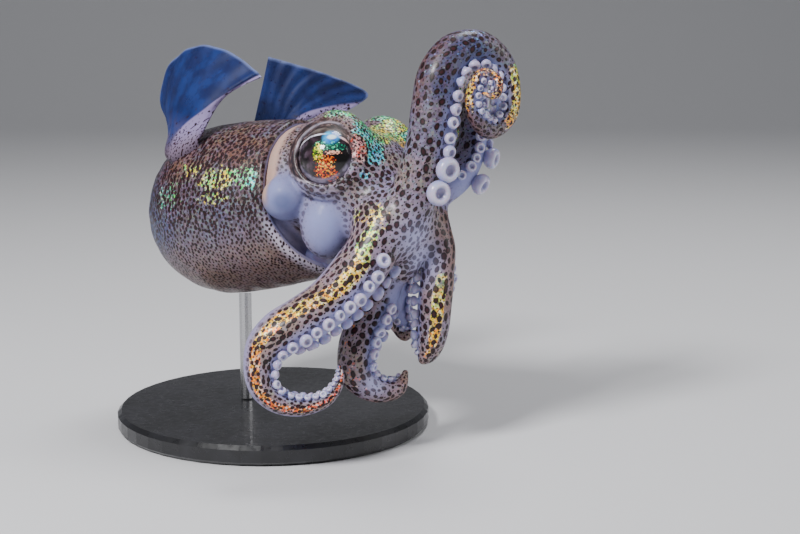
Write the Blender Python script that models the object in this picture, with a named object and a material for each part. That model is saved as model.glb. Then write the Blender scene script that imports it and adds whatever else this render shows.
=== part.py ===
"""Southern bobtail squid, life size, hovering with two arms raised, on a plain display stand.

Lengths are millimetres in the squid's own axes: forward, left and up from the centre of its
mantle opening. One empty carries those axes into the display's metres.
"""
import math

import bmesh
import bpy
import numpy as np
from mathutils import Matrix, Vector

MM = 0.001
GAP = 0.3

# Display stand
BASE_RADIUS = 32.0
BASE_HEIGHT = 4.0
BASE_EDGE = 0.8
ROD_RADIUS = 1.3
ROD_AT = (-21.0, 0.0)
ROD_REACH = 4.0
BASE_SIDES = 48
ROD_SIDES = 12

# Pose of the squid over the centre of the base
OPENING_AT = (9.0, -4.0, 47.5)
TURN = math.radians(-36.0)
NOSE_UP = math.radians(-7.7)
LEAN = math.radians(-10.0)

# Colours
FLESH = (0.62, 0.58, 0.64)
PALE_FLESH = (0.72, 0.72, 0.8)
FIN_COLOUR = (0.55, 0.6, 0.78)
EYE_COLOUR = (0.05, 0.07, 0.06)
BASE_COLOUR = (0.02, 0.02, 0.022)
ROD_COLOUR = (0.7, 0.7, 0.72)

# Mantle
MANTLE_LENGTH = 39.6
MANTLE_HALF_WIDTH = 17.4
MANTLE_HALF_HEIGHT = 17.5
MANTLE_ARCH = 0.9
MANTLE_WIDEST_AT = -20.5
OPENING_HALF_WIDTH = 14.8
OPENING_HALF_HEIGHT = 15.8
MANTLE_WALL = 1.7
MANTLE_SIDES = 34
BOWL_DEPTH = 7.5
BOWL_RINGS = ((0.0, 0.0), (0.55, 0.6), (0.9, 2.6), (1.0, 6.0))
TAIL_SHARE = 0.55
RIM_SIDE_AT = -1.7
RIM_BACK_LIFT = 0.9
RIM_BELLY_REACH = 4.1

# Head: centres and half sizes of the rounded masses that melt into one skin
CENTRE_MASSES = (((9.8, 0.0, 0.8), (12.6, 12.0, 11.4)), ((1.0, 0.0, 2.2), (8.2, 13.2, 12.7)),
                 ((15.0, 0.0, -1.5), (9.5, 10.5, 10.5)), ((19.0, 0.0, -8.0), (8.5, 9.5, 9.5)),
                 ((20.8, -0.8, -14.6), (3.4, 3.8, 4.8)))
PAIRED_MASSES = (((12.2, 7.3, 6.4), (8.2, 5.9, 8.4)), ((2.9, 11.5, -1.5), (4.6, 4.8, 4.6)),
                 ((8.6, 7.8, -8.0), (5.4, 5.2, 6.6)))
SKIN_VOXEL = 0.8
SKIN_ROUNDS = 7
SKIN_KEPT = 0.1
EYE_RADIUS = 6.2
EYE_AT = (12.5, 9.5, 5.0)
EYE_WAY = (0.35, 0.92, 0.18)
LID_HEIGHT = 2.5
LID_THICK = 0.9
LID_REACH = 0.75
EYE_SIDES = 18
MOUTH_SIDES = 14
CROWN_AT = (20.2, 0.0, -8.4)
CROWN_DROOP = math.radians(35.0)
CROWN_CUT_BACK = 5.5
CROWN_CLEARANCE = 1.3
MOUTH_RADIUS = 2.0
MOUTH_AT = (23.4, -1.6, -13.4)

# Funnel: places on its axis with the radius there
FUNNEL_ROUTE = ((-5.5, 0.0, -9.6, 2.9), (0.0, 0.0, -11.0, 3.2), (5.0, 0.0, -13.2, 2.9),
                (10.5, 0.0, -15.8, 2.1))
FUNNEL_WAY = (0.9, 0.0, -0.42)
FUNNEL_LIP = ((0.75, 0.35), (0.6, -0.6), (0.6, -3.5))
FUNNEL_WIDER = 1.15

# Suckers: their radius grows with the arm's, and their profile is in shares of that radius
SUCKER_LEAST = 0.5
SUCKER_SHARE = 0.22
SUCKER_MOST = 0.8
SUCKER_ROW = math.radians(38.0)
SUCKER_PROFILE = ((-0.65, 0.62), (0.8, 1.0), (1.35, 0.76))
SUCKER_CUP = 1.0
SUCKER_ROOM = 0.35
SUCKER_PITCH = 1.05

# Fins
FIN_ROOT_THICK = 1.0
FIN_EDGE_THICK = 0.55
FIN_SINK = (0.1, 1.5)

# Lines of each fin from its root to its edge: share and turn on the mantle, then the places passed
FIN_RIGHT = ((0.61, -46.0, (-16.4, -12.6, 15.6), (-12.0, -10.4, 21.6), (-5.2, -6.2, 24.8)),
             (0.5, -54.0, (-22.6, -14.0, 15.0), (-15.6, -12.7, 20.6), (-6.4, -6.8, 26.6)),
             (0.42, -52.0, (-27.0, -12.0, 16.8), (-21.5, -10.6, 25.2), (-12.6, -6.8, 31.6)),
             (0.36, -46.0, (-30.6, -9.2, 17.4), (-28.0, -8.2, 27.0), (-21.0, -6.4, 34.8)),
             (0.33, -38.0, (-32.6, -6.8, 17.0), (-33.2, -6.2, 25.6), (-29.4, -5.6, 33.6)),
             (0.32, -28.0, (-32.4, -4.8, 16.8), (-35.4, -4.6, 22.4), (-37.4, -4.8, 28.6)))
FIN_LEFT = ((0.66, 42.0, (-13.8, 15.0, 18.6), (-9.2, 21.6, 20.4), (-3.6, 29.6, 21.4)),
            (0.56, 50.0, (-15.0, 14.6, 20.4), (-10.6, 19.8, 23.8), (-4.6, 26.8, 25.2)),
            (0.48, 52.0, (-17.6, 13.4, 19.8), (-13.6, 15.4, 25.2), (-8.4, 20.2, 28.6)),
            (0.4, 50.0, (-20.6, 11.8, 18.8), (-17.0, 12.4, 25.4), (-12.6, 14.4, 31.2)),
            (0.32, 44.0, (-24.4, 10.6, 17.8), (-20.6, 10.4, 24.8), (-16.8, 10.4, 33.4)))

ARM_SIDES = 10
RING_STEP = 2.3
KEEL_WIDTH = 0.55

# Arms: places on each route with the radius there, the spots its suckers face at shares of its
# length, the shares where it is parted, and its suckers' spacing, first place and enlarged cups
ARMS = (
    dict(name="right_1",
         route=((19.5, -0.5, -7.0, 3.6), (22.3, 1.7, -5.0, 3.5), (25.7, 5.0, -3.0, 3.4),
                (28.9, 8.6, 0.0, 3.3), (30.9, 10.7, 4.5, 3.1), (31.6, 11.6, 10.1, 2.8),
                (31.8, 11.8, 15.4, 2.3), (33.2, 12.0, 19.6, 1.8), (36.2, 12.6, 21.6, 1.4),
                (39.0, 13.4, 20.0, 1.0), (39.2, 13.8, 17.2, 0.7), (37.4, 13.6, 16.2, 0.4)),
         inner=((0.0, (40.0, 12.0, -6.0)), (0.5, (40.0, 13.0, 8.0)), (0.75, (36.4, 13.0, 18.0)),
                (1.0, (36.6, 13.2, 18.6))),
         lengths=(0.24, 0.6, 1.0), bare=0.3, large=((0.33, 1, 2.1), (0.42, 1, 2.1))),
    dict(name="right_2",
         route=((19.5, -3.0, -9.0, 4.6), (24.8, -4.4, -7.4, 4.5), (28.8, -3.9, -0.6, 4.3),
                (31.6, -3.8, 5.5, 4.2), (33.2, -3.2, 11.9, 4.2), (34.8, -2.6, 17.3, 4.1),
                (37.2, 0.2, 21.4, 3.7), (39.9, 4.3, 22.0, 3.3), (41.4, 8.0, 19.4, 2.8),
                (41.6, 9.9, 13.9, 2.4), (40.9, 8.8, 8.9, 2.1), (39.4, 5.3, 6.6, 1.8),
                (39.2, 1.3, 8.8, 1.6), (40.6, -0.6, 13.1, 1.4), (43.0, -0.3, 15.9, 1.2),
                (45.4, 0.4, 14.1, 0.95), (45.2, -0.9, 11.4, 0.7), (43.6, -2.2, 12.0, 0.35)),
         inner=((0.0, (44.0, 4.0, -2.0)), (0.25, (44.0, 4.0, 8.0)), (0.45, (38.5, 3.0, 13.5)),
                (0.72, (39.5, 4.0, 13.5)), (0.82, (43.0, 0.0, 12.6)), (1.0, (43.6, -0.4, 13.0))),
         lengths=(0.105, 0.31, 0.5, 0.68, 0.84, 1.0), spacing=0.6, bare=0.13,
         large=((0.133, -1, 2.4), (0.19, -1, 2.4))),
    dict(name="right_3",
         route=((18.5, -2.5, -8.0, 5.2), (21.0, -6.6, -10.0, 5.0), (18.4, -11.1, -16.8, 4.6),
                (15.0, -17.2, -22.9, 4.1), (11.7, -21.8, -26.0, 3.9), (8.5, -25.2, -28.0, 3.5),
                (6.6, -26.9, -29.9, 3.0), (5.6, -27.5, -32.5, 2.6), (5.2, -27.5, -34.9, 2.4),
                (5.2, -26.9, -37.1, 2.2), (5.8, -25.7, -38.9, 2.0), (8.5, -22.0, -41.0, 1.7),
                (10.6, -19.8, -41.0, 1.45), (12.4, -18.1, -40.3, 1.2), (13.8, -16.7, -38.5, 0.95),
                (14.5, -16.0, -36.5, 0.7), (14.4, -16.0, -34.6, 0.35)),
         inner=((0.0, (30.0, -11.0, -30.0)), (0.4, (24.0, -16.0, -38.0)), (0.58, (11.0, -21.5, -33.5)),
                (1.0, (10.5, -21.0, -34.5))),
         keel=0.28, lengths=(0.11, 0.4, 0.6, 0.78, 1.0), spacing=0.35, bare=0.17),
    dict(name="right_4",
         route=((18.0, 0.0, -10.0, 3.8), (17.0, -0.4, -15.0, 3.7), (16.0, -2.4, -20.8, 3.6),
                (14.2, -5.2, -26.0, 3.6), (12.4, -7.6, -31.2, 3.5), (11.5, -7.3, -36.4, 3.1),
                (13.6, -3.6, -39.8, 2.3), (16.0, -0.4, -39.6, 1.5), (17.0, 0.8, -37.0, 0.6)),
         inner=((0.0, (30.0, 3.0, -25.0)), (0.6, (22.0, 0.0, -30.0)), (1.0, (12.0, 4.0, -33.0))),
         lengths=(0.24, 0.6, 1.0), spacing=1.0, bare=0.34),
    dict(name="left_1",
         route=((19.0, 2.0, -7.5, 3.4), (21.0, 5.0, -5.0, 3.3), (22.0, 10.8, -2.2, 3.2),
                (21.8, 14.8, 2.8, 3.0), (22.2, 15.6, 9.3, 2.7), (23.1, 15.0, 14.6, 2.3),
                (25.2, 13.9, 19.4, 1.9), (28.5, 14.1, 22.7, 1.4), (31.5, 14.7, 23.0, 0.9),
                (32.7, 15.3, 21.0, 0.4)),
         inner=((0.0, (36.0, 8.0, -4.0)), (0.6, (38.0, 14.0, 12.0)), (1.0, (30.5, 15.0, 19.0))),
         lengths=(0.27, 0.62, 1.0), bare=0.32),
    dict(name="left_2",
         route=((20.0, 2.0, -7.5, 3.7), (23.4, 3.4, -8.6, 3.6), (25.2, 4.2, -13.0, 3.5),
                (24.9, 4.0, -18.6, 3.2), (23.8, 3.4, -24.6, 3.3), (22.6, 3.4, -30.0, 2.9),
                (21.6, 3.4, -32.4, 2.5), (20.9, 3.2, -33.8, 1.9), (20.3, 2.8, -34.7, 1.1)),
         inner=((0.0, (10.0, 2.0, -22.0)), (0.7, (8.0, 0.0, -26.0)), (1.0, (10.0, 2.0, -28.0))),
         lengths=(0.25, 0.6, 1.0), spacing=0.7, bare=0.54),
    dict(name="left_3",
         route=((18.5, 3.5, -9.0, 3.7), (19.4, 8.8, -12.0, 3.5), (18.2, 12.8, -16.8, 3.2),
                (16.4, 14.2, -22.0, 2.8), (14.6, 14.2, -26.6, 2.3), (13.8, 13.0, -29.4, 1.7),
                (14.6, 11.6, -30.8, 1.1), (15.8, 10.8, -30.2, 0.5)),
         inner=((0.0, (32.0, 8.0, -22.0)), (0.8, (28.0, 8.0, -26.0)), (1.0, (20.0, 12.0, -24.0))),
         keel=0.22, lengths=(0.27, 0.62, 1.0), bare=0.34),
    dict(name="left_4",
         route=((17.5, 1.8, -9.5, 3.6), (14.4, 4.6, -14.8, 3.4), (12.0, 7.0, -19.6, 3.1),
                (10.8, 8.0, -24.0, 2.6), (11.6, 8.2, -27.4, 1.9), (13.2, 7.6, -29.4, 1.3),
                (14.8, 7.0, -29.0, 0.6)),
         inner=((0.0, (22.0, 0.0, -24.0)), (0.6, (22.0, 2.0, -23.0)), (1.0, (15.5, 7.0, -25.0))),
         lengths=(0.27, 0.62, 1.0), bare=0.44),
)


def clear_scene():
    for thing in list(bpy.data.objects):
        bpy.data.objects.remove(thing, do_unlink=True)


def finish(name, colour, roughness=0.35, metallic=0.0):
    material = bpy.data.materials.new(name)
    material.use_nodes = True
    shader = material.node_tree.nodes["Principled BSDF"]
    shader.inputs["Base Color"].default_value = (*colour, 1.0)
    shader.inputs["Roughness"].default_value = roughness
    shader.inputs["Metallic"].default_value = metallic
    return material


def unit(vector):
    vector = np.asarray(vector, float)
    return vector / np.linalg.norm(vector, axis=-1, keepdims=True)


def mesh_object(name, points, faces, parent=None):
    """A closed mesh from points in millimetres, with its faces turned outwards."""
    mesh = bpy.data.meshes.new(name)
    mesh.from_pydata((np.asarray(points, float) * MM).tolist(), [], faces)
    shape = bmesh.new()
    shape.from_mesh(mesh)
    bmesh.ops.recalc_face_normals(shape, faces=shape.faces)
    if shape.calc_volume(signed=True) < 0.0:
        bmesh.ops.reverse_faces(shape, faces=shape.faces)
    shape.to_mesh(mesh)
    shape.free()
    thing = bpy.data.objects.new(name, mesh)
    bpy.context.scene.collection.objects.link(thing)
    thing.parent = parent
    return thing


def complete(thing, material, crease=40.0):
    """The sub-part's own material, and smooth shading up to its creases."""
    thing.data.materials.clear()
    thing.data.materials.append(material)
    thing.data.shade_smooth()
    thing.data.set_sharp_from_angle(angle=math.radians(crease))
    return thing


def loft_faces(rings, sides, closed_ends=True):
    faces = []
    for ring in range(rings - 1):
        for side in range(sides):
            after = (side + 1) % sides
            low = ring * sides
            high = low + sides
            faces.append((low + side, low + after, high + after, high + side))
    if closed_ends:
        faces.append(tuple(range(sides))[::-1])
        faces.append(tuple(range((rings - 1) * sides, rings * sides)))
    return faces


def pointed_loft(rings, first, last):
    """Points and faces of rings of equal count that close on a single point at each end."""
    rings = np.asarray(rings, float)
    count, sides = rings.shape[:2]
    points = np.vstack([rings.reshape(-1, 3), [first], [last]])
    faces = loft_faces(count, sides, closed_ends=False)
    start = count * sides
    for side in range(sides):
        after = (side + 1) % sides
        faces.append((start, after, side))
        faces.append((start + 1, start - sides + side, start - sides + after))
    return points, faces


def apply_modifiers(thing):
    """Replaces the object's mesh by its evaluated one."""
    bpy.context.view_layer.update()
    result = thing.evaluated_get(bpy.context.evaluated_depsgraph_get())
    mesh = bpy.data.meshes.new_from_object(result)
    thing.modifiers.clear()
    thing.data = mesh


def keep_largest(thing):
    """Keeps only the largest closed surface of the mesh."""
    shape = bmesh.new()
    shape.from_mesh(thing.data)
    shape.verts.ensure_lookup_table()
    seen = set()
    shells = []
    for start in shape.verts:
        if start.index in seen:
            continue
        seen.add(start.index)
        shell = [start]
        for vertex in shell:
            for edge in vertex.link_edges:
                other = edge.other_vert(vertex)
                if other.index not in seen:
                    seen.add(other.index)
                    shell.append(other)
        shells.append(shell)

    def spread(shell):
        places = np.array([vertex.co[:] for vertex in shell])
        return float(np.prod(np.ptp(places, axis=0)))

    shells.sort(key=spread)
    for shell in shells[:-1]:
        bmesh.ops.delete(shape, geom=shell, context="VERTS")
    shape.to_mesh(thing.data)
    shape.free()


def combine(thing, operation, others, solver="MANIFOLD"):
    """One Boolean with a collection of closed objects, applied; the objects are removed."""
    group = bpy.data.collections.new("pieces")
    bpy.context.scene.collection.children.link(group)
    for other in others:
        other.parent = thing.parent
        group.objects.link(other)
    boolean = thing.modifiers.new("combine", "BOOLEAN")
    boolean.operation = operation
    boolean.operand_type = "COLLECTION"
    boolean.collection = group
    boolean.solver = solver
    apply_modifiers(thing)
    for other in others:
        bpy.data.objects.remove(other, do_unlink=True)
    bpy.data.collections.remove(group)
    keep_largest(thing)
    return thing


def grown(thing, amount):
    """A copy of the object with its surface moved outwards."""
    copy = thing.copy()
    copy.data = thing.data.copy()
    bpy.context.scene.collection.objects.link(copy)
    normals = [normal.vector.copy() for normal in copy.data.vertex_normals]
    for vertex, normal in zip(copy.data.vertices, normals):
        vertex.co += normal * amount * MM
    return copy


def ellipsoid(centre, half_sizes, parent, sides=24, name="blob"):
    rings = []
    for step in range(1, sides // 2):
        angle = math.pi * step / (sides // 2)
        ring_radius = math.sin(angle)
        rings.append([(math.cos(angle), ring_radius * math.cos(turn), ring_radius * math.sin(turn))
                      for turn in np.arange(sides) * 2.0 * math.pi / sides])
    points, faces = pointed_loft(rings, (1.0, 0.0, 0.0), (-1.0, 0.0, 0.0))
    points = points * np.asarray(half_sizes) + np.asarray(centre)
    return mesh_object(name, points, faces, parent)


def between(share, size, here, there, leaving, arriving):
    """A cubic between two values with given slopes."""
    return ((2 * share**3 - 3 * share**2 + 1) * here + (3 * share**2 - 2 * share**3) * there
            + (share**3 - 2 * share**2 + share) * size * leaving + (share**3 - share**2) * size * arriving)


def smooth_line(points, step=None, shares=None):
    """Points at even steps, or at given shares of the length, on a curve through rows of values.

    The first three columns are a place; any others are carried along with it.
    """
    points = np.asarray(points, float)
    run = np.concatenate([[0.0], np.cumsum(np.linalg.norm(np.diff(points[:, :3], axis=0), axis=1))])
    gaps = np.diff(run)[:, None]
    slopes = np.diff(points, axis=0) / gaps
    middle = (slopes[1:] * gaps[:-1] + slopes[:-1] * gaps[1:]) / (gaps[1:] + gaps[:-1])
    first = 1.5 * slopes[:1] - 0.5 * middle[:1]
    last = 1.5 * slopes[-1:] - 0.5 * middle[-1:]
    ends = np.vstack([first, middle, last])

    def at(distance):
        span = np.clip(np.searchsorted(run, distance, side="right") - 1, 0, len(gaps) - 1)
        share = ((distance - run[span]) / gaps[span, 0])[:, None]
        return between(share, gaps[span], points[span], points[span + 1], ends[span], ends[span + 1])

    dense = np.linspace(0.0, run[-1], 40 * len(points))
    fine = at(dense)
    length = np.concatenate([[0.0], np.cumsum(np.linalg.norm(np.diff(fine[:, :3], axis=0), axis=1))])
    if shares is None:
        shares = np.linspace(0.0, 1.0, max(2, int(round(length[-1] / step)) + 1))
    return at(np.interp(np.asarray(shares) * length[-1], length, dense)), length[-1]


class Arm:
    """One arm: its route with radii, the side its suckers face, and a keel along its back."""

    def __init__(self, name, route, inner, lengths, keel=0.0, spacing=2.0, bare=0.0, large=()):
        self.name = name
        self.route = np.asarray(route, float)
        self.inner = inner
        self.lengths = lengths
        self.keel = keel
        self.spacing = spacing
        self.bare = bare
        self.large = large
        self.length = smooth_line(self.route, step=RING_STEP)[1]

    def at(self, shares):
        """Centre, radius and the ways along, towards the suckers and across, at shares of the length."""
        shares = np.atleast_1d(np.asarray(shares, float))
        small = 0.004
        row, _ = smooth_line(self.route, shares=shares)
        ahead, _ = smooth_line(self.route, shares=np.minimum(shares + small, 1.0))
        behind, _ = smooth_line(self.route, shares=np.maximum(shares - small, 0.0))
        along = unit(ahead[:, :3] - behind[:, :3])
        marks = [mark for mark, _ in self.inner]
        targets = np.array([target for _, target in self.inner])
        target = np.stack([np.interp(shares, marks, targets[:, axis]) for axis in range(3)], axis=1)
        facing = target - row[:, :3]
        facing = unit(facing - along * np.sum(facing * along, axis=1, keepdims=True))
        return row[:, :3], row[:, 3], along, facing, np.cross(along, facing)

    def skin(self, start, stop, parent):
        """The plain closed length of arm between two shares."""
        count = max(3, int(round((stop - start) * self.length / RING_STEP)) + 1)
        shares = np.linspace(start, stop, count)
        centre, radius, _, facing, across = self.at(shares)
        angle = np.arange(ARM_SIDES) * 2.0 * math.pi / ARM_SIDES
        back = np.exp(-((angle - math.pi) / KEEL_WIDTH) ** 2)
        reach = 1.0 + self.keel * back[None, :] * np.sin(math.pi * np.clip(shares, 0.02, 0.98))[:, None]
        rings = (centre[:, None, :] + radius[:, None, None] * reach[:, :, None]
                 * (np.cos(angle)[None, :, None] * facing[:, None, :]
                    + np.sin(angle)[None, :, None] * across[:, None, :]))
        points = rings.reshape(-1, 3)
        return mesh_object(self.name, points, loft_faces(count, ARM_SIDES), parent)

    def spans(self):
        """Start and stop shares of each length, less half a gap at every cut."""
        half_gap = 0.5 * GAP / self.length
        return [(start + half_gap, stop - half_gap if stop < 1.0 else 1.0)
                for start, stop in zip(self.lengths[:-1], self.lengths[1:])]

    def suckers(self, start, stop, parent):
        """Cups in two rows between two shares, clear of the cuts, and the enlarged ones."""
        shares = np.linspace(start, stop, 300)
        centre, radius, along, facing, across = self.at(shares)
        size = np.minimum(SUCKER_LEAST + SUCKER_SHARE * radius, SUCKER_MOST * radius)
        cuts = [index for index, share in ((0, start), (-1, stop)) if share < 1.0]
        cups = []
        for side in (-1, 1):
            way = math.cos(SUCKER_ROW) * facing + side * math.sin(SUCKER_ROW) * across
            head = centre + way * (radius + size)[:, None]
            taken = []
            for share, row, scale in self.large:
                if row == side and start < share < stop:
                    index = int(np.argmin(np.abs(shares - share)))
                    taken.append((head[index], scale))
                    cups.append(sucker(centre[index], way[index], radius[index], scale, parent))
            for index in range(len(shares)):
                room = [abs(np.dot(head[index] - centre[cut], along[cut])) > size[index] + SUCKER_ROOM
                        for cut in cuts]
                room += [np.linalg.norm(head[index] - place) - self.spacing
                         > SUCKER_PITCH * (size[index] + other) for place, other in taken]
                if all(room) and shares[index] > self.bare:
                    taken.append((head[index], size[index]))
                    cups.append(sucker(centre[index], way[index], radius[index], size[index], parent))
        return cups


def sucker(centre, way, radius, size, parent):
    """A cup on a short stalk, its root sunk in the arm."""
    sides = 6 if size > 1.0 else 5
    across = unit(np.cross(way, (0.31, 0.17, 0.93)))
    other = np.cross(way, across)
    turns = np.arange(sides) * 2.0 * math.pi / sides
    rings = [[centre + way * (radius + height * size) + width * size
              * (math.cos(turn) * across + math.sin(turn) * other) for turn in turns]
             for height, width in SUCKER_PROFILE]
    points = np.vstack([np.array(rings).reshape(-1, 3), [centre + way * (radius + SUCKER_CUP * size)]])
    faces = loft_faces(len(rings), sides)[:-1]
    last = len(points) - 1
    faces += [(last - sides + side, last - sides + (side + 1) % sides, last) for side in range(sides)]
    return mesh_object("cup", points, faces, parent)


def build_arm(arm, parent):
    """The arm's lengths as nodes, face to face with a thin gap."""
    for letter, (start, stop) in zip("abcdef", arm.spans()):
        node = arm.skin(start, stop, parent)
        node.name = f"arm_{arm.name}_{letter}"
        combine(node, "UNION", arm.suckers(start, stop, parent))
        complete(node, finish(node.name, FLESH))


def mantle_point(share, turn, inner=0.0):
    """A point of the mantle's wall: share runs from the tail (0) to the rim (1), turn from the back."""
    rim = RIM_SIDE_AT + RIM_BACK_LIFT * max(0.0, math.cos(turn)) ** 2
    rim += RIM_BELLY_REACH * max(0.0, -math.cos(turn)) ** 2
    if share < TAIL_SHARE:
        angle = 0.5 * math.pi * share / TAIL_SHARE
        forward = MANTLE_WIDEST_AT - (MANTLE_LENGTH + MANTLE_WIDEST_AT) * math.cos(angle)
        width = MANTLE_HALF_WIDTH * math.sin(angle)
        height = MANTLE_HALF_HEIGHT * math.sin(angle)
        arch = MANTLE_ARCH * math.sin(angle)
    else:
        part = (share - TAIL_SHARE) / (1.0 - TAIL_SHARE)
        forward = MANTLE_WIDEST_AT + (rim - MANTLE_WIDEST_AT) * part
        width = MANTLE_HALF_WIDTH - (MANTLE_HALF_WIDTH - OPENING_HALF_WIDTH) * part ** 2
        height = MANTLE_HALF_HEIGHT - (MANTLE_HALF_HEIGHT - OPENING_HALF_HEIGHT) * part ** 2
        arch = MANTLE_ARCH * (1.0 - part)
    return np.array([forward, (width - inner) * math.sin(turn), (height - inner) * math.cos(turn) + arch])


def build_mantle(parent):
    """The bag of the mantle, with a shallow bowl at its front for the neck and the funnel."""
    turns = np.arange(MANTLE_SIDES) * 2.0 * math.pi / MANTLE_SIDES
    rings = [[mantle_point(share, turn) for turn in turns] for share in np.linspace(0.0, 1.0, 15)[1:]]
    forward = np.array([1.0, 0.0, 0.0])
    rings.append([mantle_point(1.0, turn, 0.5 * MANTLE_WALL) + 0.35 * MANTLE_WALL * forward
                  for turn in turns])
    for depth, narrowing in BOWL_RINGS:
        rings.append([mantle_point(1.0, turn, MANTLE_WALL + narrowing) - BOWL_DEPTH * depth * forward
                      for turn in turns])
    floor = RIM_SIDE_AT - BOWL_DEPTH
    points, faces = pointed_loft(rings, (-MANTLE_LENGTH, 0.0, 0.0), (floor, 0.0, 0.0))
    return mesh_object("mantle", points, faces, parent)


def fleshy(pieces, voxel, rounds, keep):
    """Pieces melted into one smooth skin."""
    body = pieces[0]
    shape = bmesh.new()
    for piece in pieces:
        shape.from_mesh(piece.data)
    shape.to_mesh(body.data)
    shape.free()
    for piece in pieces[1:]:
        bpy.data.objects.remove(piece, do_unlink=True)
    remesh = body.modifiers.new("melt", "REMESH")
    remesh.mode = "VOXEL"
    remesh.voxel_size = voxel * MM
    smooth = body.modifiers.new("soften", "SMOOTH")
    smooth.factor = 0.6
    smooth.iterations = rounds
    thin = body.modifiers.new("thin", "DECIMATE")
    thin.ratio = keep
    apply_modifiers(body)
    keep_largest(body)
    return body


def crown_axes():
    """Ways out of the crown, to its left and to its back."""
    out = np.array([math.cos(CROWN_DROOP), 0.0, -math.sin(CROWN_DROOP)])
    left = np.array([0.0, 1.0, 0.0])
    return out, left, np.cross(out, left)


def half_space(front, parent):
    """A block that fills all in front of, or behind, the cut between head and crown."""
    out, left, back = crown_axes()
    centre = np.array(CROWN_AT) - CROWN_CUT_BACK * out
    size = 60.0
    half_gap = 0.5 * GAP
    low, high = (-half_gap, size) if front else (-size, half_gap)
    points = [centre + a * out + b * left + c * back for a in (low, high) for b in (-size, size)
              for c in (-size, size)]
    faces = [(0, 1, 3, 2), (4, 6, 7, 5), (0, 4, 5, 1), (2, 3, 7, 6), (0, 2, 6, 4), (1, 5, 7, 3)]
    return mesh_object("half", points, faces, parent)


def eye_place(side):
    centre = np.array([EYE_AT[0], side * EYE_AT[1], EYE_AT[2]])
    way = unit(np.array([EYE_WAY[0], side * EYE_WAY[1], EYE_WAY[2]]))
    return centre, way


def ring_piece(centre, axis, radius, thick, parent, sides=20, around=6):
    """A rounded hoop about an axis."""
    frame = Vector(axis).to_track_quat("Z", "Y").to_matrix()
    points = []
    for turn in np.arange(sides) * 2.0 * math.pi / sides:
        for bend in np.arange(around) * 2.0 * math.pi / around:
            reach = radius + thick * math.cos(bend)
            local = Vector((reach * math.cos(turn), reach * math.sin(turn), thick * math.sin(bend)))
            points.append(np.array(centre) + np.array(frame @ local))
    faces = []
    for ring in range(sides):
        following = (ring + 1) % sides
        for step in range(around):
            after = (step + 1) % around
            faces.append((ring * around + step, ring * around + after,
                          following * around + after, following * around + step))
    return mesh_object("hoop", points, faces, parent)


def build_core(parent):
    """Head, neck and the root of the arms in one smooth skin, before it is parted."""
    pieces = [ellipsoid(centre, half_sizes, parent) for centre, half_sizes in CENTRE_MASSES]
    for side in (-1, 1):
        pieces += [ellipsoid((centre[0], side * centre[1], centre[2]), half_sizes, parent)
                   for centre, half_sizes in PAIRED_MASSES]
    return fleshy(pieces, SKIN_VOXEL, SKIN_ROUNDS, SKIN_KEPT)


def build_funnel(parent):
    """The funnel: a soft cone under the head, open at its tip."""
    rows, _ = smooth_line(FUNNEL_ROUTE, shares=np.linspace(0.0, 1.0, 7))
    sides = 14
    turns = np.arange(sides) * 2.0 * math.pi / sides
    way = unit(FUNNEL_WAY)
    left = np.array([0.0, 1.0, 0.0])
    up = np.cross(way, left)

    def ring(row, scale, shift=0.0):
        return [row[:3] + shift * way + row[3] * scale * (FUNNEL_WIDER * math.cos(turn) * left
                + math.sin(turn) * up) for turn in turns]

    rings = [ring(row, 1.0) for row in rows]
    rings += [ring(rows[-1], scale, shift) for scale, shift in FUNNEL_LIP]
    points = np.array(rings).reshape(-1, 3)
    return mesh_object("funnel", points, loft_faces(len(rings), sides), parent)


def set_eyes(head, parent):
    """A raised lid round each eye, a socket with a thin gap, and the eyes."""
    lid_radius = math.sqrt(EYE_RADIUS ** 2 - LID_HEIGHT ** 2) + LID_REACH * LID_THICK
    for side, word in ((-1, "right"), (1, "left")):
        centre, way = eye_place(side)
        combine(head, "UNION", [ring_piece(centre + LID_HEIGHT * way, way, lid_radius, LID_THICK, parent)])
        combine(head, "DIFFERENCE", [ellipsoid(centre, (EYE_RADIUS + GAP,) * 3, parent, EYE_SIDES)])
        eye = ellipsoid(centre, (EYE_RADIUS,) * 3, parent, EYE_SIDES, "eye_" + word)
        complete(eye, finish(eye.name, EYE_COLOUR, 0.08))


def build_head(parent, mantle):
    """The head with the funnel below it, the mantle hollowed round both; returns the uncut skin."""
    core = build_core(parent)
    head = core.copy()
    head.data = core.data.copy()
    bpy.context.scene.collection.objects.link(head)
    funnel = build_funnel(parent)
    combine(mantle, "DIFFERENCE", [grown(core, GAP), grown(funnel, GAP)])
    combine(head, "DIFFERENCE", [half_space(True, parent), grown(funnel, GAP)])
    set_eyes(head, parent)
    head.name = "head"
    complete(head, finish("head", FLESH))
    complete(mantle, finish("mantle", FLESH))
    complete(funnel, finish("funnel", PALE_FLESH))
    return core


def build_crown(core, arms, parent):
    """The roots of the arms in one piece round the mouth, cut back from the first lengths."""
    combine(core, "UNION", [arm.skin(0.0, arm.lengths[0] + GAP / arm.length, parent) for arm in arms])
    first_lengths = [arm.skin(*arm.spans()[0], parent) for arm in arms]
    clearances = [grown(length, CROWN_CLEARANCE * GAP) for length in first_lengths]
    for length in first_lengths:
        bpy.data.objects.remove(length, do_unlink=True)
    mouth_room = ellipsoid(MOUTH_AT, (MOUTH_RADIUS + GAP,) * 3, parent, MOUTH_SIDES)
    combine(core, "DIFFERENCE", [half_space(False, parent), mouth_room] + clearances)
    core.name = "crown"
    complete(core, finish("crown", FLESH))
    mouth = ellipsoid(MOUTH_AT, (MOUTH_RADIUS,) * 3, parent, MOUTH_SIDES, "mouth")
    complete(mouth, finish("mouth", PALE_FLESH))


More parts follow.
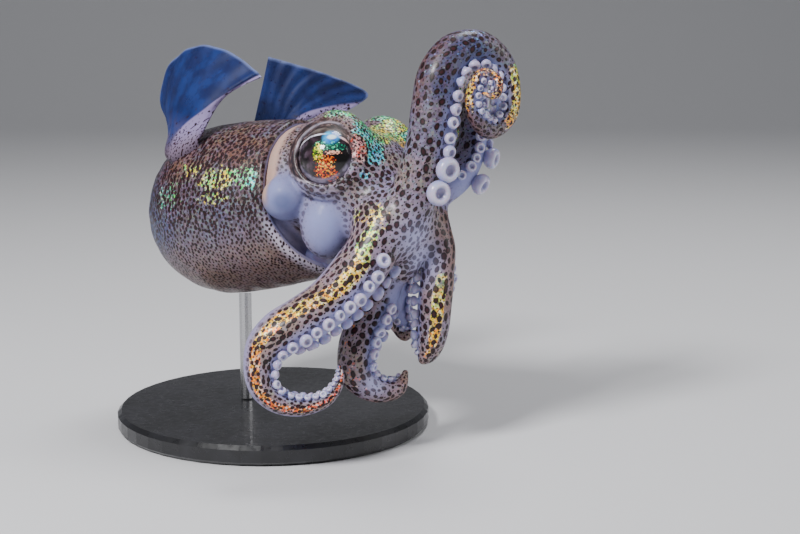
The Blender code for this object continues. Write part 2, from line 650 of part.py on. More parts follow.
def even_blend(knots, values, wanted):
    """A smooth curve through values at even knots."""
    step = knots[1] - knots[0]
    slopes = np.gradient(values, step, axis=0)
    span = np.clip((wanted / step).astype(int), 0, len(knots) - 2)
    share = ((wanted - knots[span]) / step)[:, None]
    return between(share, step, values[span], values[span + 1], slopes[span], slopes[span + 1])


def build_fin(name, lines, parent, around, rows):
    """A thin curved blade: its lines run from the root on the mantle to its outer edge."""
    outward = np.array([smooth_line(line, shares=np.linspace(0.0, 1.0, rows))[0] for line in lines])
    knots = np.linspace(0.0, 1.0, len(lines))
    wanted = np.linspace(0.0, 1.0, around)
    sheet = np.empty((around, rows, 3))
    for row in range(rows):
        sheet[:, row] = even_blend(knots, outward[:, row], wanted)
    across = np.gradient(sheet, axis=0)
    along = np.gradient(sheet, axis=1)
    normal = unit(np.cross(across, along))
    edge = np.linspace(0.0, 1.0, rows)[None, :, None]
    side = np.sin(math.pi * wanted)[:, None, None]
    extra = (FIN_ROOT_THICK - FIN_EDGE_THICK) * (1.0 - edge) ** 2 * (0.4 + 0.6 * side)
    thick = 0.5 * (FIN_EDGE_THICK + extra)
    front = (sheet + normal * thick).reshape(-1, 3)
    back = (sheet - normal * thick).reshape(-1, 3)
    count = around * rows
    faces = []
    for column in range(around - 1):
        for row in range(rows - 1):
            low = column * rows + row
            corners = (low, low + 1, low + rows + 1, low + rows)
            for triangle in ((0, 1, 2), (0, 2, 3)):
                faces.append(tuple(corners[i] for i in triangle))
                faces.append(tuple(count + corners[i] for i in triangle[::-1]))
    loop = [(column, 0) for column in range(around)]
    loop += [(around - 1, row) for row in range(1, rows)]
    loop += [(column, rows - 1) for column in range(around - 2, -1, -1)]
    loop += [(0, row) for row in range(rows - 2, 0, -1)]
    ids = [column * rows + row for column, row in loop]
    for here, there in zip(ids, ids[1:] + ids[:1]):
        faces.append((here, there, there + count))
        faces.append((here, there + count, here + count))
    return mesh_object(name, np.vstack([front, back]), faces, parent)


def fin_line(share, turn, *onward):
    """A control line of the blade: square off the mantle's wall, then through the places given."""
    point = mantle_point(share, math.radians(turn))
    away = unit(point - np.array([MANTLE_WIDEST_AT, 0.0, 0.0]))
    return [*(point + away * (GAP + lift) for lift in FIN_SINK), *onward]


def build_fins(parent):
    for name, table in (("fin_right", FIN_RIGHT), ("fin_left", FIN_LEFT)):
        fin = build_fin(name, [fin_line(*row) for row in table], parent, around=11, rows=8)
        complete(fin, finish(name, FIN_COLOUR, 0.3))


def squid_arms():
    """The eight arms: right and left, first (back) to fourth (belly)."""
    return [Arm(**row) for row in ARMS]


def turned(profile, sides, axis=(0.0, 0.0)):
    """Rings of points about an upright axis, from rows of radius and height."""
    turns = np.arange(sides) * 2.0 * math.pi / sides
    return np.array([[(axis[0] + radius * math.cos(turn), axis[1] + radius * math.sin(turn), height)
                      for turn in turns] for radius, height in profile]).reshape(-1, 3)


def build_stand(display, mantle):
    """A turned disc with a softened edge, and a rod up to the belly of the mantle."""
    profile = [(BASE_RADIUS - BASE_EDGE, 0.0), (BASE_RADIUS, BASE_EDGE),
               (BASE_RADIUS, BASE_HEIGHT - BASE_EDGE), (BASE_RADIUS - BASE_EDGE, BASE_HEIGHT)]
    base = mesh_object("stand_base", turned(profile, BASE_SIDES), loft_faces(len(profile), BASE_SIDES))
    complete(base, finish("stand_base", BASE_COLOUR, 0.25))
    foot = display @ Vector((ROD_AT[0] * MM, ROD_AT[1] * MM, -MANTLE_HALF_HEIGHT * MM))
    profile = [(ROD_RADIUS, BASE_HEIGHT + GAP), (ROD_RADIUS, foot.z / MM + ROD_REACH)]
    points = turned(profile, ROD_SIDES, (foot.x / MM, foot.y / MM))
    rod = mesh_object("stand_rod", points, loft_faces(len(profile), ROD_SIDES))
    cutter = grown(mantle, GAP)
    cutter.parent = None
    cutter.matrix_world = display
    combine(rod, "DIFFERENCE", [cutter])
    complete(rod, finish("stand_rod", ROD_COLOUR, 0.2, 1.0))


def main():
    clear_scene()
    place = Matrix.Translation(Vector(OPENING_AT) * MM) @ Matrix.Rotation(LEAN, 4, "X")
    place = place @ Matrix.Rotation(TURN, 4, "Z") @ Matrix.Rotation(NOSE_UP, 4, "Y")
    axes = bpy.data.objects.new("squid_axes", None)
    bpy.context.scene.collection.objects.link(axes)
    axes.matrix_world = place
    bpy.context.view_layer.update()
    arms = squid_arms()
    mantle = build_mantle(axes)
    core = build_head(axes, mantle)
    build_crown(core, arms, axes)
    build_fins(axes)
    for arm in arms:
        build_arm(arm, axes)
    build_stand(place, mantle)


main()
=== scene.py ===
"""Southern bobtail squid, life size, hovering with its upper arms raised, on a plain display stand.

The forms are worked out in the squid's own axes: forward, left and up from the centre of its mantle
opening, in millimetres. PLACE carries them into the display's metres.
"""
import math

import bmesh
import bpy
import numpy as np
from bpy.props import FloatProperty, FloatVectorProperty, IntProperty, PointerProperty
from mathutils import Matrix, Vector
from mathutils.kdtree import KDTree


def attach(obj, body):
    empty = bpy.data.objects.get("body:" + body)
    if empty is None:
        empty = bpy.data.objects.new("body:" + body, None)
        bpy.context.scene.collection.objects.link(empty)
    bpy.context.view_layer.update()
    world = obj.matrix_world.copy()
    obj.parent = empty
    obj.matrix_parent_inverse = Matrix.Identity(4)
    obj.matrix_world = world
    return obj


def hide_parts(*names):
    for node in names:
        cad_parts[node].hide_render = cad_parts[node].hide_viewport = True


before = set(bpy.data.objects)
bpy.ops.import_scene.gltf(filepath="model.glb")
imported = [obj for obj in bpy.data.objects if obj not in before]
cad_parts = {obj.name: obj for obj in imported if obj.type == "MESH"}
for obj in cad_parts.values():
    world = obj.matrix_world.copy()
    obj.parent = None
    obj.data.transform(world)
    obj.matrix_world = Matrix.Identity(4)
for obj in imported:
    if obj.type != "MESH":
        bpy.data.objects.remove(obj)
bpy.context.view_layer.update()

bl_info = {
    "name": "Bobtail squid display model",
    "version": (1, 0, 0),
    "blender": (4, 5, 0),
    "location": "View3D > Sidebar > Squid",
    "description": "Builds a life-size southern bobtail squid on a display stand",
    "category": "Add Mesh",
}

MM = 0.001
OPENING_AT = (9.0, -4.0, 47.5)
TURN = math.radians(-36.0)
NOSE_UP = math.radians(-7.7)
LEAN = math.radians(-10.0)
PLACE = (Matrix.Translation(Vector(OPENING_AT) * MM) @ Matrix.Rotation(LEAN, 4, "X")
         @ Matrix.Rotation(TURN, 4, "Z") @ Matrix.Rotation(NOSE_UP, 4, "Y"))

# Camera: where it stands from the mantle opening, in millimetres, and how far it looks down
CAMERA_FROM_OPENING = (17.1, -308.8, 40.2)
CAMERA_PITCH = math.radians(80.0)
CAMERA_LENS = 70.0

# Mantle
MANTLE_LENGTH = 39.6
MANTLE_HALF_WIDTH = 17.4
MANTLE_HALF_HEIGHT = 17.5
MANTLE_ARCH = 0.9
MANTLE_WIDEST_AT = -20.5
OPENING_HALF_WIDTH = 14.8
OPENING_HALF_HEIGHT = 15.8
MANTLE_WALL = 1.7
BOWL_DEPTH = 7.5
RIM_SIDE_AT = -1.7
RIM_BACK_LIFT = 0.9
RIM_BELLY_REACH = 4.1
TAIL_SHARE = 0.55
MANTLE_RIPPLE = 0.09

# Mesh of the mantle: points round it, rows over its rounded rear, along its cone, round its rim and
# down its bowl, and by how much the bowl has narrowed at its floor, in millimetres
MANTLE_SIDES = 480
MANTLE_ROWS = (165, 106, 9, 14)
BOWL_NARROWS = 6.0

# Head: centres and half sizes of its rounded masses
CENTRE_MASSES = (((9.8, 0.0, 0.8), (12.6, 12.0, 11.4)), ((1.0, 0.0, 2.2), (8.2, 13.2, 12.7)),
                 ((15.0, 0.0, -1.5), (9.5, 10.5, 10.5)), ((19.0, 0.0, -8.0), (8.5, 9.5, 9.5)),
                 ((20.8, -0.8, -14.6), (3.4, 3.8, 4.8)))
EYE_BULGE = ((12.2, 7.3, 6.4), (8.2, 5.9, 8.4))
LOBES = (((2.5, 11.9, -1.0), (4.8, 4.9, 4.6)), ((8.6, 8.1, -7.2), (5.4, 5.2, 6.8)))
EYE_RADIUS = 6.2
EYE_AT = (12.5, 9.5, 5.0)
EYE_WAY = (0.35, 0.92, 0.18)

# Folds of the lids: height over the eye's centre along its way, radius and thickness
LID_FOLDS = ((2.3, 6.32, 0.58), (1.7, 7.15, 0.62), (0.5, 7.9, 0.5))

# The soft fold of skin that fills the opening between the neck and the mantle's rim
COLLAR = ((-3.4, 0.0, 0.4), (5.4, 13.3, 14.1))

# Fillets, in millimetres: between the masses of the head, round its lobes and lids, and at the arms' roots
HEAD_FILLET = 3.2
COLLAR_FILLET = 1.2
LOBE_FILLET = 1.5
LID_FILLET = 0.9
ROOT_FILLET = 3.6
FREE_FILLET = 0.3
ROOT_ENDS = (6.0, 15.0)
HEAD_SHRINK = 0.25

# How much larger than the head's masses the blanks under its mesh are, and how often the mesh is
# smoothed and drawn onto the skin again
BLANK_MARGIN = 0.2
SKIN_ROUNDS = 5

MOUTH_RADIUS = 2.0
MOUTH_AT = (23.4, -1.6, -13.4)

# Funnel: places on its axis with the radius there
FUNNEL_ROUTE = ((-5.5, 0.0, -9.6, 2.9), (0.0, 0.0, -11.0, 3.2), (5.0, 0.0, -13.2, 2.9),
                (10.5, 0.0, -15.8, 2.1))
FUNNEL_WAY = (0.9, 0.0, -0.42)
FUNNEL_WIDER = 1.15

# Fins, in millimetres: how deep in the mantle's wall their lines start and how far they first stand
# off it, their thickness at the root and how much more it is along the front, height of their ripples
FIN_INSIDE = 0.9
FIN_OFF = 0.7
FIN_ROOT_THICK = 0.9
FIN_FRONT_THICK = 0.45
FIN_RIPPLE = 0.16
FIN_RIPPLES = 46.0

# How much shorter a fin is at its rounded end, and over which share of its width
FIN_ROUND = (0.3, 0.22)

# Width of the milky strip along a fin's front edge, as a share, and how much wider it is at the root
FIN_STRIP = (0.11, 0.18)

# Lines of each fin from its root to its edge: share and turn on the mantle, then the places passed
FIN_RIGHT = ((0.61, -46.0, (-16.4, -12.6, 15.6), (-12.0, -10.4, 21.6), (-5.2, -6.2, 24.8)),
             (0.5, -54.0, (-22.6, -14.0, 15.0), (-15.6, -12.7, 20.6), (-6.4, -6.8, 26.6)),
             (0.45, -50.0, (-26.2, -12.0, 16.6), (-21.5, -10.6, 25.2), (-12.6, -6.8, 31.6)),
             (0.46, -40.0, (-28.6, -9.4, 17.2), (-28.0, -8.2, 27.0), (-21.0, -6.4, 34.8)),
             (0.46, -33.0, (-30.0, -7.0, 17.0), (-32.4, -6.2, 25.6), (-29.4, -5.6, 33.6)),
             (0.45, -26.0, (-30.4, -5.2, 16.8), (-33.4, -4.8, 21.6), (-37.4, -4.8, 28.6)))
FIN_LEFT = ((0.66, 42.0, (-13.8, 15.0, 18.6), (-9.2, 21.6, 20.4), (-3.6, 29.6, 21.4)),
            (0.56, 50.0, (-15.0, 14.6, 20.4), (-10.6, 19.8, 23.8), (-4.6, 26.8, 25.2)),
            (0.48, 52.0, (-17.6, 13.4, 19.8), (-13.6, 15.4, 25.2), (-8.4, 20.2, 28.6)),
            (0.4, 50.0, (-20.6, 11.8, 18.8), (-17.0, 12.4, 25.4), (-12.6, 14.4, 31.2)),
            (0.32, 44.0, (-24.4, 10.6, 17.8), (-20.6, 10.4, 24.8), (-16.8, 10.4, 33.4)))

# Arms: places on each route with the radius there, the spots its suckers face at shares of its
# length, and its suckers' spacing, first place and enlarged cups
ARMS = (
    dict(name="right_1",
         route=((19.5, -0.5, -7.0, 3.6), (22.3, 1.7, -5.0, 3.5), (25.7, 5.0, -3.0, 3.4),
                (28.9, 8.6, 0.0, 3.3), (30.9, 10.7, 4.5, 3.1), (31.6, 11.6, 10.1, 2.8),
                (31.8, 11.8, 15.4, 2.3), (33.2, 12.0, 19.6, 1.8), (36.2, 12.6, 21.6, 1.4),
                (39.0, 13.4, 20.0, 1.0), (39.2, 13.8, 17.2, 0.7), (37.4, 13.6, 16.2, 0.4)),
         inner=((0.0, (40.0, 12.0, -6.0)), (0.5, (40.0, 13.0, 8.0)), (0.75, (36.4, 13.0, 18.0)),
                (1.0, (36.6, 13.2, 18.6))),
         bare=0.3, large=((0.33, 1, 2.1), (0.42, 1, 2.1))),
    dict(name="right_2",
         route=((19.5, -3.0, -9.0, 4.6), (24.8, -4.4, -7.4, 4.5), (28.8, -3.9, -0.6, 4.3),
                (31.6, -3.8, 5.5, 4.2), (33.2, -3.2, 11.9, 4.2), (34.8, -2.6, 17.3, 4.1),
                (37.2, 0.2, 21.4, 3.7), (39.9, 4.3, 22.0, 3.3), (41.4, 8.0, 19.4, 2.8),
                (41.6, 9.9, 13.9, 2.4), (40.9, 8.8, 8.9, 2.1), (39.4, 5.3, 6.6, 1.8),
                (39.2, 1.3, 8.8, 1.6), (40.6, -0.6, 13.1, 1.4), (43.0, -0.3, 15.9, 1.2),
                (45.4, 0.4, 14.1, 0.95), (45.2, -0.9, 11.4, 0.7), (43.6, -2.2, 12.0, 0.35)),
         inner=((0.0, (44.0, 4.0, -2.0)), (0.25, (44.0, 4.0, 8.0)), (0.45, (38.5, 3.0, 13.5)),
                (0.72, (39.5, 4.0, 13.5)), (0.82, (43.0, 0.0, 12.6)), (1.0, (43.6, -0.4, 13.0))),
         bare=0.13, large=((0.133, -1, 2.4), (0.19, -1, 2.4))),
    dict(name="right_3",
         route=((18.5, -2.5, -8.0, 5.2), (21.0, -6.6, -10.0, 5.0), (18.4, -11.1, -16.8, 4.6),
                (15.0, -17.2, -22.9, 4.1), (11.7, -21.8, -26.0, 3.9), (8.5, -25.2, -28.0, 3.5),
                (6.6, -26.9, -29.9, 3.0), (5.6, -27.5, -32.5, 2.6), (5.2, -27.5, -34.9, 2.4),
                (5.2, -26.9, -37.1, 2.2), (5.8, -25.7, -38.9, 2.0), (8.5, -22.0, -41.0, 1.7),
                (10.6, -19.8, -41.0, 1.45), (12.4, -18.1, -40.3, 1.2), (13.8, -16.7, -38.5, 0.95),
                (14.5, -16.0, -36.5, 0.7), (14.4, -16.0, -34.6, 0.35)),
         inner=((0.0, (30.0, -11.0, -30.0)), (0.4, (24.0, -16.0, -38.0)), (0.58, (11.0, -21.5, -33.5)),
                (1.0, (10.5, -21.0, -34.5))),
         keel=0.28, bare=0.17),
    dict(name="right_4",
         route=((18.0, 0.0, -10.0, 3.8), (17.0, -0.4, -15.0, 3.7), (16.0, -2.4, -20.8, 3.6),
                (14.2, -5.2, -26.0, 3.6), (12.4, -7.6, -31.2, 3.5), (11.5, -7.3, -36.4, 3.1),
                (13.6, -3.6, -39.8, 2.3), (16.0, -0.4, -39.6, 1.5), (17.0, 0.8, -37.0, 0.6)),
         inner=((0.0, (30.0, 3.0, -25.0)), (0.6, (22.0, 0.0, -30.0)), (1.0, (12.0, 4.0, -33.0))),
         bare=0.34),
    dict(name="left_1",
         route=((19.0, 2.0, -7.5, 3.4), (21.0, 5.0, -5.0, 3.3), (22.0, 10.8, -2.2, 3.2),
                (21.8, 14.8, 2.8, 3.0), (22.2, 15.6, 9.3, 2.7), (23.1, 15.0, 14.6, 2.3),
                (25.2, 13.9, 19.4, 1.9), (28.5, 14.1, 22.7, 1.4), (31.5, 14.7, 23.0, 0.9),
                (32.7, 15.3, 21.0, 0.4)),
         inner=((0.0, (36.0, 8.0, -4.0)), (0.6, (38.0, 14.0, 12.0)), (1.0, (30.5, 15.0, 19.0))),
         bare=0.32),
    dict(name="left_2",
         route=((20.0, 2.0, -7.5, 3.7), (23.4, 3.4, -8.6, 3.6), (25.2, 4.2, -13.0, 3.5),
                (24.9, 4.0, -18.6, 3.2), (23.8, 3.4, -24.6, 3.3), (22.6, 3.4, -30.0, 2.9),
                (21.6, 3.4, -32.4, 2.5), (20.9, 3.2, -33.8, 1.9), (20.3, 2.8, -34.7, 1.1)),
         inner=((0.0, (10.0, 2.0, -22.0)), (0.7, (8.0, 0.0, -26.0)), (1.0, (10.0, 2.0, -28.0))),
         bare=0.5),
    dict(name="left_3",
         route=((18.5, 3.5, -9.0, 3.7), (19.4, 8.8, -12.0, 3.5), (18.2, 12.8, -16.8, 3.2),
                (16.4, 14.2, -22.0, 2.8), (14.6, 14.2, -26.6, 2.3), (13.8, 13.0, -29.4, 1.7),
                (14.6, 11.6, -30.8, 1.1), (15.8, 10.8, -30.2, 0.5)),
         inner=((0.0, (32.0, 8.0, -22.0)), (0.8, (28.0, 8.0, -26.0)), (1.0, (20.0, 12.0, -24.0))),
         keel=0.22, bare=0.34),
    dict(name="left_4",
         route=((17.5, 1.8, -9.5, 3.6), (14.4, 4.6, -14.8, 3.4), (12.0, 7.0, -19.6, 3.1),
                (10.8, 8.0, -24.0, 2.6), (11.6, 8.2, -27.4, 1.9), (13.2, 7.6, -29.4, 1.3),
                (14.8, 7.0, -29.0, 0.6)),
         inner=((0.0, (22.0, 0.0, -24.0)), (0.6, (22.0, 2.0, -23.0)), (1.0, (15.5, 7.0, -25.0))),
         bare=0.4),
)
KEEL_WIDTH = 0.55

# The piece of skin that each arm goes into, past this share of its length
ARM_CUT = 0.22
ARM_GROUPS = {"right_1": 2, "right_2": 2, "right_3": 3, "right_4": 3,
              "left_1": 4, "left_2": 4, "left_3": 4, "left_4": 4}

# Mirror cells on the arms: half width as an angle, then share, turn, hue and strength along each band
ARM_SHINE = (("right_3", 0.42, ((0.06, 1.7, 0.52, 0.0), (0.17, 1.5, 0.46, 0.9), (0.22, 1.4, 0.4, 1.0),
                               (0.32, 1.5, 0.34, 1.0), (0.42, 1.9, 0.32, 1.0), (0.5, 2.15, 0.3, 1.0),
                               (0.6, 2.2, 0.26, 0.95), (0.72, 2.1, 0.15, 0.9), (0.85, 1.8, 0.08, 0.85),
                               (1.0, 1.6, 0.03, 0.9))),
             ("left_2", 0.42, ((0.42, -2.3, 0.46, 0.0), (0.5, -2.3, 0.46, 0.75), (0.62, -2.2, 0.4, 0.95),
                               (0.8, -2.1, 0.3, 0.95), (0.95, -2.1, 0.25, 0.4))),
             ("right_2", 0.62, ((0.565, -1.9, 0.44, 0.0), (0.6, -1.9, 0.42, 1.0), (0.69, -1.8, 0.3, 1.0),
                               (0.73, -1.8, 0.26, 0.0))),
             ("right_2", 1.7, ((0.78, -2.6, 0.3, 0.0), (0.84, -2.6, 0.3, 0.6), (0.9, -2.6, 0.26, 0.45),
                               (1.0, -2.6, 0.24, 0.4))),
             ("right_2", 0.9, ((0.2, -2.0, 0.9, 0.0), (0.3, -2.0, 0.9, 0.2), (0.5, -2.0, 0.95, 0.3),
                               (0.54, -2.0, 0.95, 0.0))),
             ("left_3", 0.6, ((0.2, 2.6, 0.42, 0.6), (0.9, 2.4, 0.2, 0.6))),
             ("left_1", 0.6, ((0.3, 2.8, 0.45, 0.6), (0.9, 2.8, 0.36, 0.6))),
             ("right_1", 0.6, ((0.45, -2.6, 0.5, 0.5), (0.9, -2.6, 0.36, 0.5))),
             ("right_4", 0.6, ((0.3, 1.9, 0.3, 0.3), (0.8, 1.9, 0.1, 0.35))))

# Brown washes on the arms: strength, first and last share
ARM_UMBER = (("left_2", 0.8, 0.1, 0.7), ("right_2", 0.6, 0.3, 0.45), ("right_2", 0.8, 0.74, 1.0),
             ("right_4", 0.75, 0.78, 1.0), ("left_4", 0.6, 0.5, 1.0), ("right_3", 0.35, 0.1, 0.5))

# Room between spots: on the mantle and the open fins in millimetres, on the head in shares of their
# radius; and the radius of the fins' spots as a share of the mantle's
MANTLE_ROOM = 0.88
FIN_ROOM = 2.4
HEAD_ROOM = 2.3
FIN_SPOT = 0.52

# How much wider apart than on the head the spots of an arm lie, in shares of their radius
ARM_OPEN = {"right_2": 0.45, "right_1": 0.7, "left_1": 0.7, "right_3": 0.0, "left_2": 0.1}

# Suckers: rows lie at this turn from the middle of the arm's inner side
SUCKER_ROW = math.radians(36.0)
SUCKER_LEAST = 0.45
SUCKER_SHARE = 0.2
SUCKER_MOST = 0.62
CUP_PROFILE = ((-0.5, 0.52), (0.45, 0.92), (0.95, 1.0), (1.3, 0.62), (1.02, 0.36))
CUP_SIDES = 9

# From this radius on, a sucker is made from the finer profile
FINE_CUP_FROM = 0.95
FINE_PROFILE = ((-0.6, 0.5), (0.0, 0.5), (0.2, 0.68), (0.42, 0.88), (0.7, 1.0), (0.98, 0.99), (1.2, 0.86),
                (1.3, 0.68), (1.26, 0.52), (1.1, 0.42), (0.94, 0.32), (0.88, 0.14))
FINE_SIDES = 16

# How far a sucker turns from its row: at random, and an enlarged one to the way of the camera
CUP_SWAY = 0.16
CUP_LEAN = 0.5
TOWARD = (0.583, -0.809, -0.079)

# Mirror patches, alike on both sides: strength, hue as in HUES, centre, half sizes
HEAD_SHINE = (
    (0.75, 0.64, (15.5, -7.4, 14.0), (5.0, 4.6, 3.4)),
    (1.0, 0.78, (20.2, -6.6, 8.4), (3.2, 4.0, 5.0)),
    (0.9, 0.84, (20.9, -6.8, 4.6), (1.8, 2.4, 2.8)),
    (1.0, 0.86, (19.9, -9.2, 0.6), (1.1, 1.4, 0.9)),
    (0.95, 0.47, (17.5, 0.0, 10.5), (5.0, 4.4, 4.0)),
    (1.0, 0.4, (19.8, -3.0, 8.2), (2.6, 2.4, 3.0)),
    (0.5, 0.6, (9.0, -6.0, 14.6), (6.0, 6.0, 3.0)),
    (0.6, 0.38, (23.0, -11.0, -8.0), (3.0, 3.0, 4.0)),
    (0.5, 0.4, (19.0, -11.4, -7.0), (3.0, 3.0, 3.0)))
MANTLE_SHINE = (
    (0.62, 0.5, (-10.3, -15.9, 4.6), (7.0, 4.0, 3.6)),
    (0.62, 0.8, (-4.0, -14.9, 3.8), (3.4, 3.0, 3.6)),
    (0.48, 0.42, (-12.0, -15.8, 1.2), (6.5, 4.0, 3.4)),
    (0.46, 0.72, (-24.0, -16.0, 3.0), (8.0, 4.0, 4.4)),
    (0.44, 0.4, (-18.0, -15.0, 7.0), (6.0, 4.0, 4.0)),
    (0.42, 0.78, (-33.0, -10.0, 5.0), (4.0, 5.0, 4.4)))

# Mirror patches of the left side alone
FAR_SHINE = ((1.0, 0.47, (18.2, 6.0, 11.6), (4.2, 3.4, 3.6)),
             (1.0, 0.38, (19.9, 3.4, 7.4), (3.0, 3.4, 3.4)))

# Soft patches, each with its strength, centre and half sizes: bare and milky lobes, painted shade on
# the lobes, the brown of the mantle, the milky web between the arms and the blue of the raised arm
HEAD_BARE = ((1.6, (3.2, -14.0, -1.4), (4.8, 4.6, 5.0)), (1.5, (10.2, -10.8, -7.8), (4.2, 4.4, 6.0)))
HEAD_MILK = ((1.3, (3.2, -14.0, -1.4), (5.2, 4.8, 5.4)), (1.3, (10.2, -10.8, -7.8), (4.6, 4.8, 6.4)))
LOBE_PAINTED_SHADE = ((0.62, (3.2, -14.0, -1.4), (5.2, 4.8, 5.4)), (0.45, (10.2, -10.8, -7.8), (4.6, 4.8, 6.4)),
             (1.15, (4.5, -15.7, -2.2), (2.7, 2.5, 2.4)))
MANTLE_UMBER = ((1.5, (-3.4, -13.6, 7.6), (2.8, 4.0, 4.4)), (1.3, (-8.0, -13.0, 9.4), (10.0, 6.0, 5.0)),
                (1.1, (-22.0, -14.0, 9.0), (8.0, 6.0, 5.0)))
WEB_MILK = ((1.1, (26.5, -4.6, -12.4), (3.4, 4.0, 5.0)), (1.1, (25.2, -1.2, -16.4), (3.4, 3.4, 4.4)),
            (1.0, (15.6, -6.8, -38.4), (2.6, 2.4, 2.4)))
BLUE_PLACES = ((1.5, (37.5, -2.0, 18.0), (10.0, 10.0, 9.0)), (0.8, (33.0, -4.0, 8.0), (6.0, 6.0, 6.0)))

# Where masks of the mantle begin and are full, in millimetres: below and behind the middle of its
# opening for the belly, its lower side and the rear, above it for the back
BELLY = (3.0, 12.0)
LOWER_SIDE = (-3.0, 8.0)
REAR = (21.0, 35.0)
CREST = (11.0, 15.5)

# The same on the head: the bare band behind it and that band's lower part, its brown top and chin
BAND = (0.8, 2.6)
BAND_LOW = (-4.0, 0.0)
HEAD_TOP = (4.0, 12.0)
CHIN = (4.0, 10.0)

# The same on an arm, in shares of its length where it takes its own look, and round it in shares
# of the way to its inner side
ARM_OWN = (0.12, 0.3)
INNER_MILK = (0.25, 0.8)
INNER_BARE = (0.55, 0.85)

# The dark skin round an eye: its middle ahead of and above the eye's, and its half width and height
SOCKET_AT = (-1.7, 0.9)
SOCKET_SIZE = (7.2, 6.4)

# Painted highlight lines along the lids: middle and half thickness of the ring round the dome, in
# millimetres, and of the rear edge of the dark skin, in shares of its size
LID_LINE = (6.15, 0.2)
SOCKET_LINE = (0.97, 0.03)

# The rosy mirror patch in front of the eye, ahead of and above its centre, and its half sizes
ROSE_AT = (6.5, 0.2)
ROSE_SIZE = (1.7, 3.3)

# Patches on the eye: tint, centre ahead and up in shares of its radius, half sizes, and how sparse
EYE_BLOTS = (("teal", (0.12, 0.12), (0.46, 0.24), 0.3), ("teal", (0.46, 0.04), (0.4, 0.2), 0.34),
             ("lime", (-0.1, -0.12), (0.24, 0.46), 0.4), ("ember", (0.1, -0.38), (0.5, 0.3), 0.56),
             ("ember", (0.05, -0.64), (0.5, 0.34), 0.36), ("peach", (0.36, -0.14), (0.42, 0.09), 0.46))

# The upper lid's edge over the dome: centre and half sizes of its curve
LID_EDGE = ((-0.08, -0.45), (1.2, 0.98))

# Hues of the mirror cells, from rose through yellow, green and teal to blue
HUES = ((0.0, "ffb4b8"), (0.06, "ff4f40"), (0.15, "ff7420"), (0.28, "ffae1e"), (0.42, "ffe83c"),
        (0.55, "58e060"), (0.7, "14d6ac"), (0.85, "4fdcff"), (1.0, "8f9cff"))

# Tints of the skin's fine grain
GRAIN = ((0.0, "a8705c"), (0.2, "a5808e"), (0.4, "8f80a8"), (0.6, "6f8ea1"), (0.8, "7f9a86"),
         (1.0, "c4ae80"))

# Tints of the eye's grains, from their gaps to their brightest
TEAL = ((0.0, "010c0b"), (0.34, "053e37"), (0.66, "087a5c"), (0.88, "22bd88"), (1.0, "8cebd0"))
LIME = ((0.0, "081203"), (0.34, "35600a"), (0.64, "9fb80c"), (0.86, "f6d414"), (1.0, "fff58a"))
EMBER = ((0.0, "080201"), (0.3, "3e0902"), (0.5, "cc2e04"), (0.68, "ff6c06"), (0.86, "ffb418"),
         (1.0, "ffe884"))

# How fine the skin's wrinkles are, in waves for each metre
FOLD_SCALE = 900.0

# Tints of the folds of the lids beside the dome, where the panel's plum comes among them, and tints
# of the lid that is seen through the dome
LID_TINTS = ((0.0, "060304"), (0.6, "3e2b28"), (0.84, "66504e"), (1.0, "b4a2ac"))
PLUM_AT = 0.34
DOME_LID = ((0.0, "120b0c"), (0.5, "3d3230"), (1.0, "746a62"))

# Stage, in metres: half width, front, back, bend and height of the backdrop; lamps; what they face
BACKDROP = dict(half_width=2.4, front=-1.6, back=0.7, bend=0.6, height=2.6)
LAMPS = (("key", (-0.2, -0.3, 0.4), 0.12), ("fill", (0.5, -0.04, 0.22), 0.3),
         ("top", (0.12, 0.17, 0.5), 0.16))
LAMPS_FACE = (0.015, 0.0, 0.045)
ROOM_TINT = (0.86, 0.88, 0.92)


def shade(code):
    """A linear colour from a six-figure code."""
    parts = [int(code[at:at + 2], 16) / 255.0 for at in (0, 2, 4)]
    return tuple(part / 12.92 if part <= 0.04045 else ((part + 0.055) / 1.055) ** 2.4 for part in parts)


def opaque(colour):
    """Four numbers from a six-figure code or from three numbers."""
    return (*(shade(colour) if isinstance(colour, str) else colour), 1.0)


class SquidSizes(bpy.types.PropertyGroup):
    """Sizes of the fine forms and the spots"""
    skin_step: FloatProperty(name="Skin step", description="Distance between the points of the skin",
                             default=0.00022, min=0.0002, max=0.001, unit="LENGTH")
    spot: FloatProperty(name="Spot", description="Radius of a pigment spot on the mantle",
                        default=0.00042, min=0.0001, unit="LENGTH")
    head_spot: FloatProperty(name="Head spot", description="Radius of a pigment spot on the head",
                             default=0.0005, min=0.0001, unit="LENGTH")
    arm_spot: FloatProperty(name="Arm spot", description="Radius of a large pigment spot on the arms",
                            default=0.00062, min=0.0001, unit="LENGTH")
    speck: FloatProperty(name="Speck", description="Radius of the specks between the spots",
                         default=0.00016, min=0.00005, unit="LENGTH")
    fin_edge: FloatProperty(name="Fin edge", description="Thickness of a fin at its edge",
                            default=0.0003, min=0.0001, unit="LENGTH")
    seed: IntProperty(name="Seed", description="Seed of every random draw", default=7, min=0)


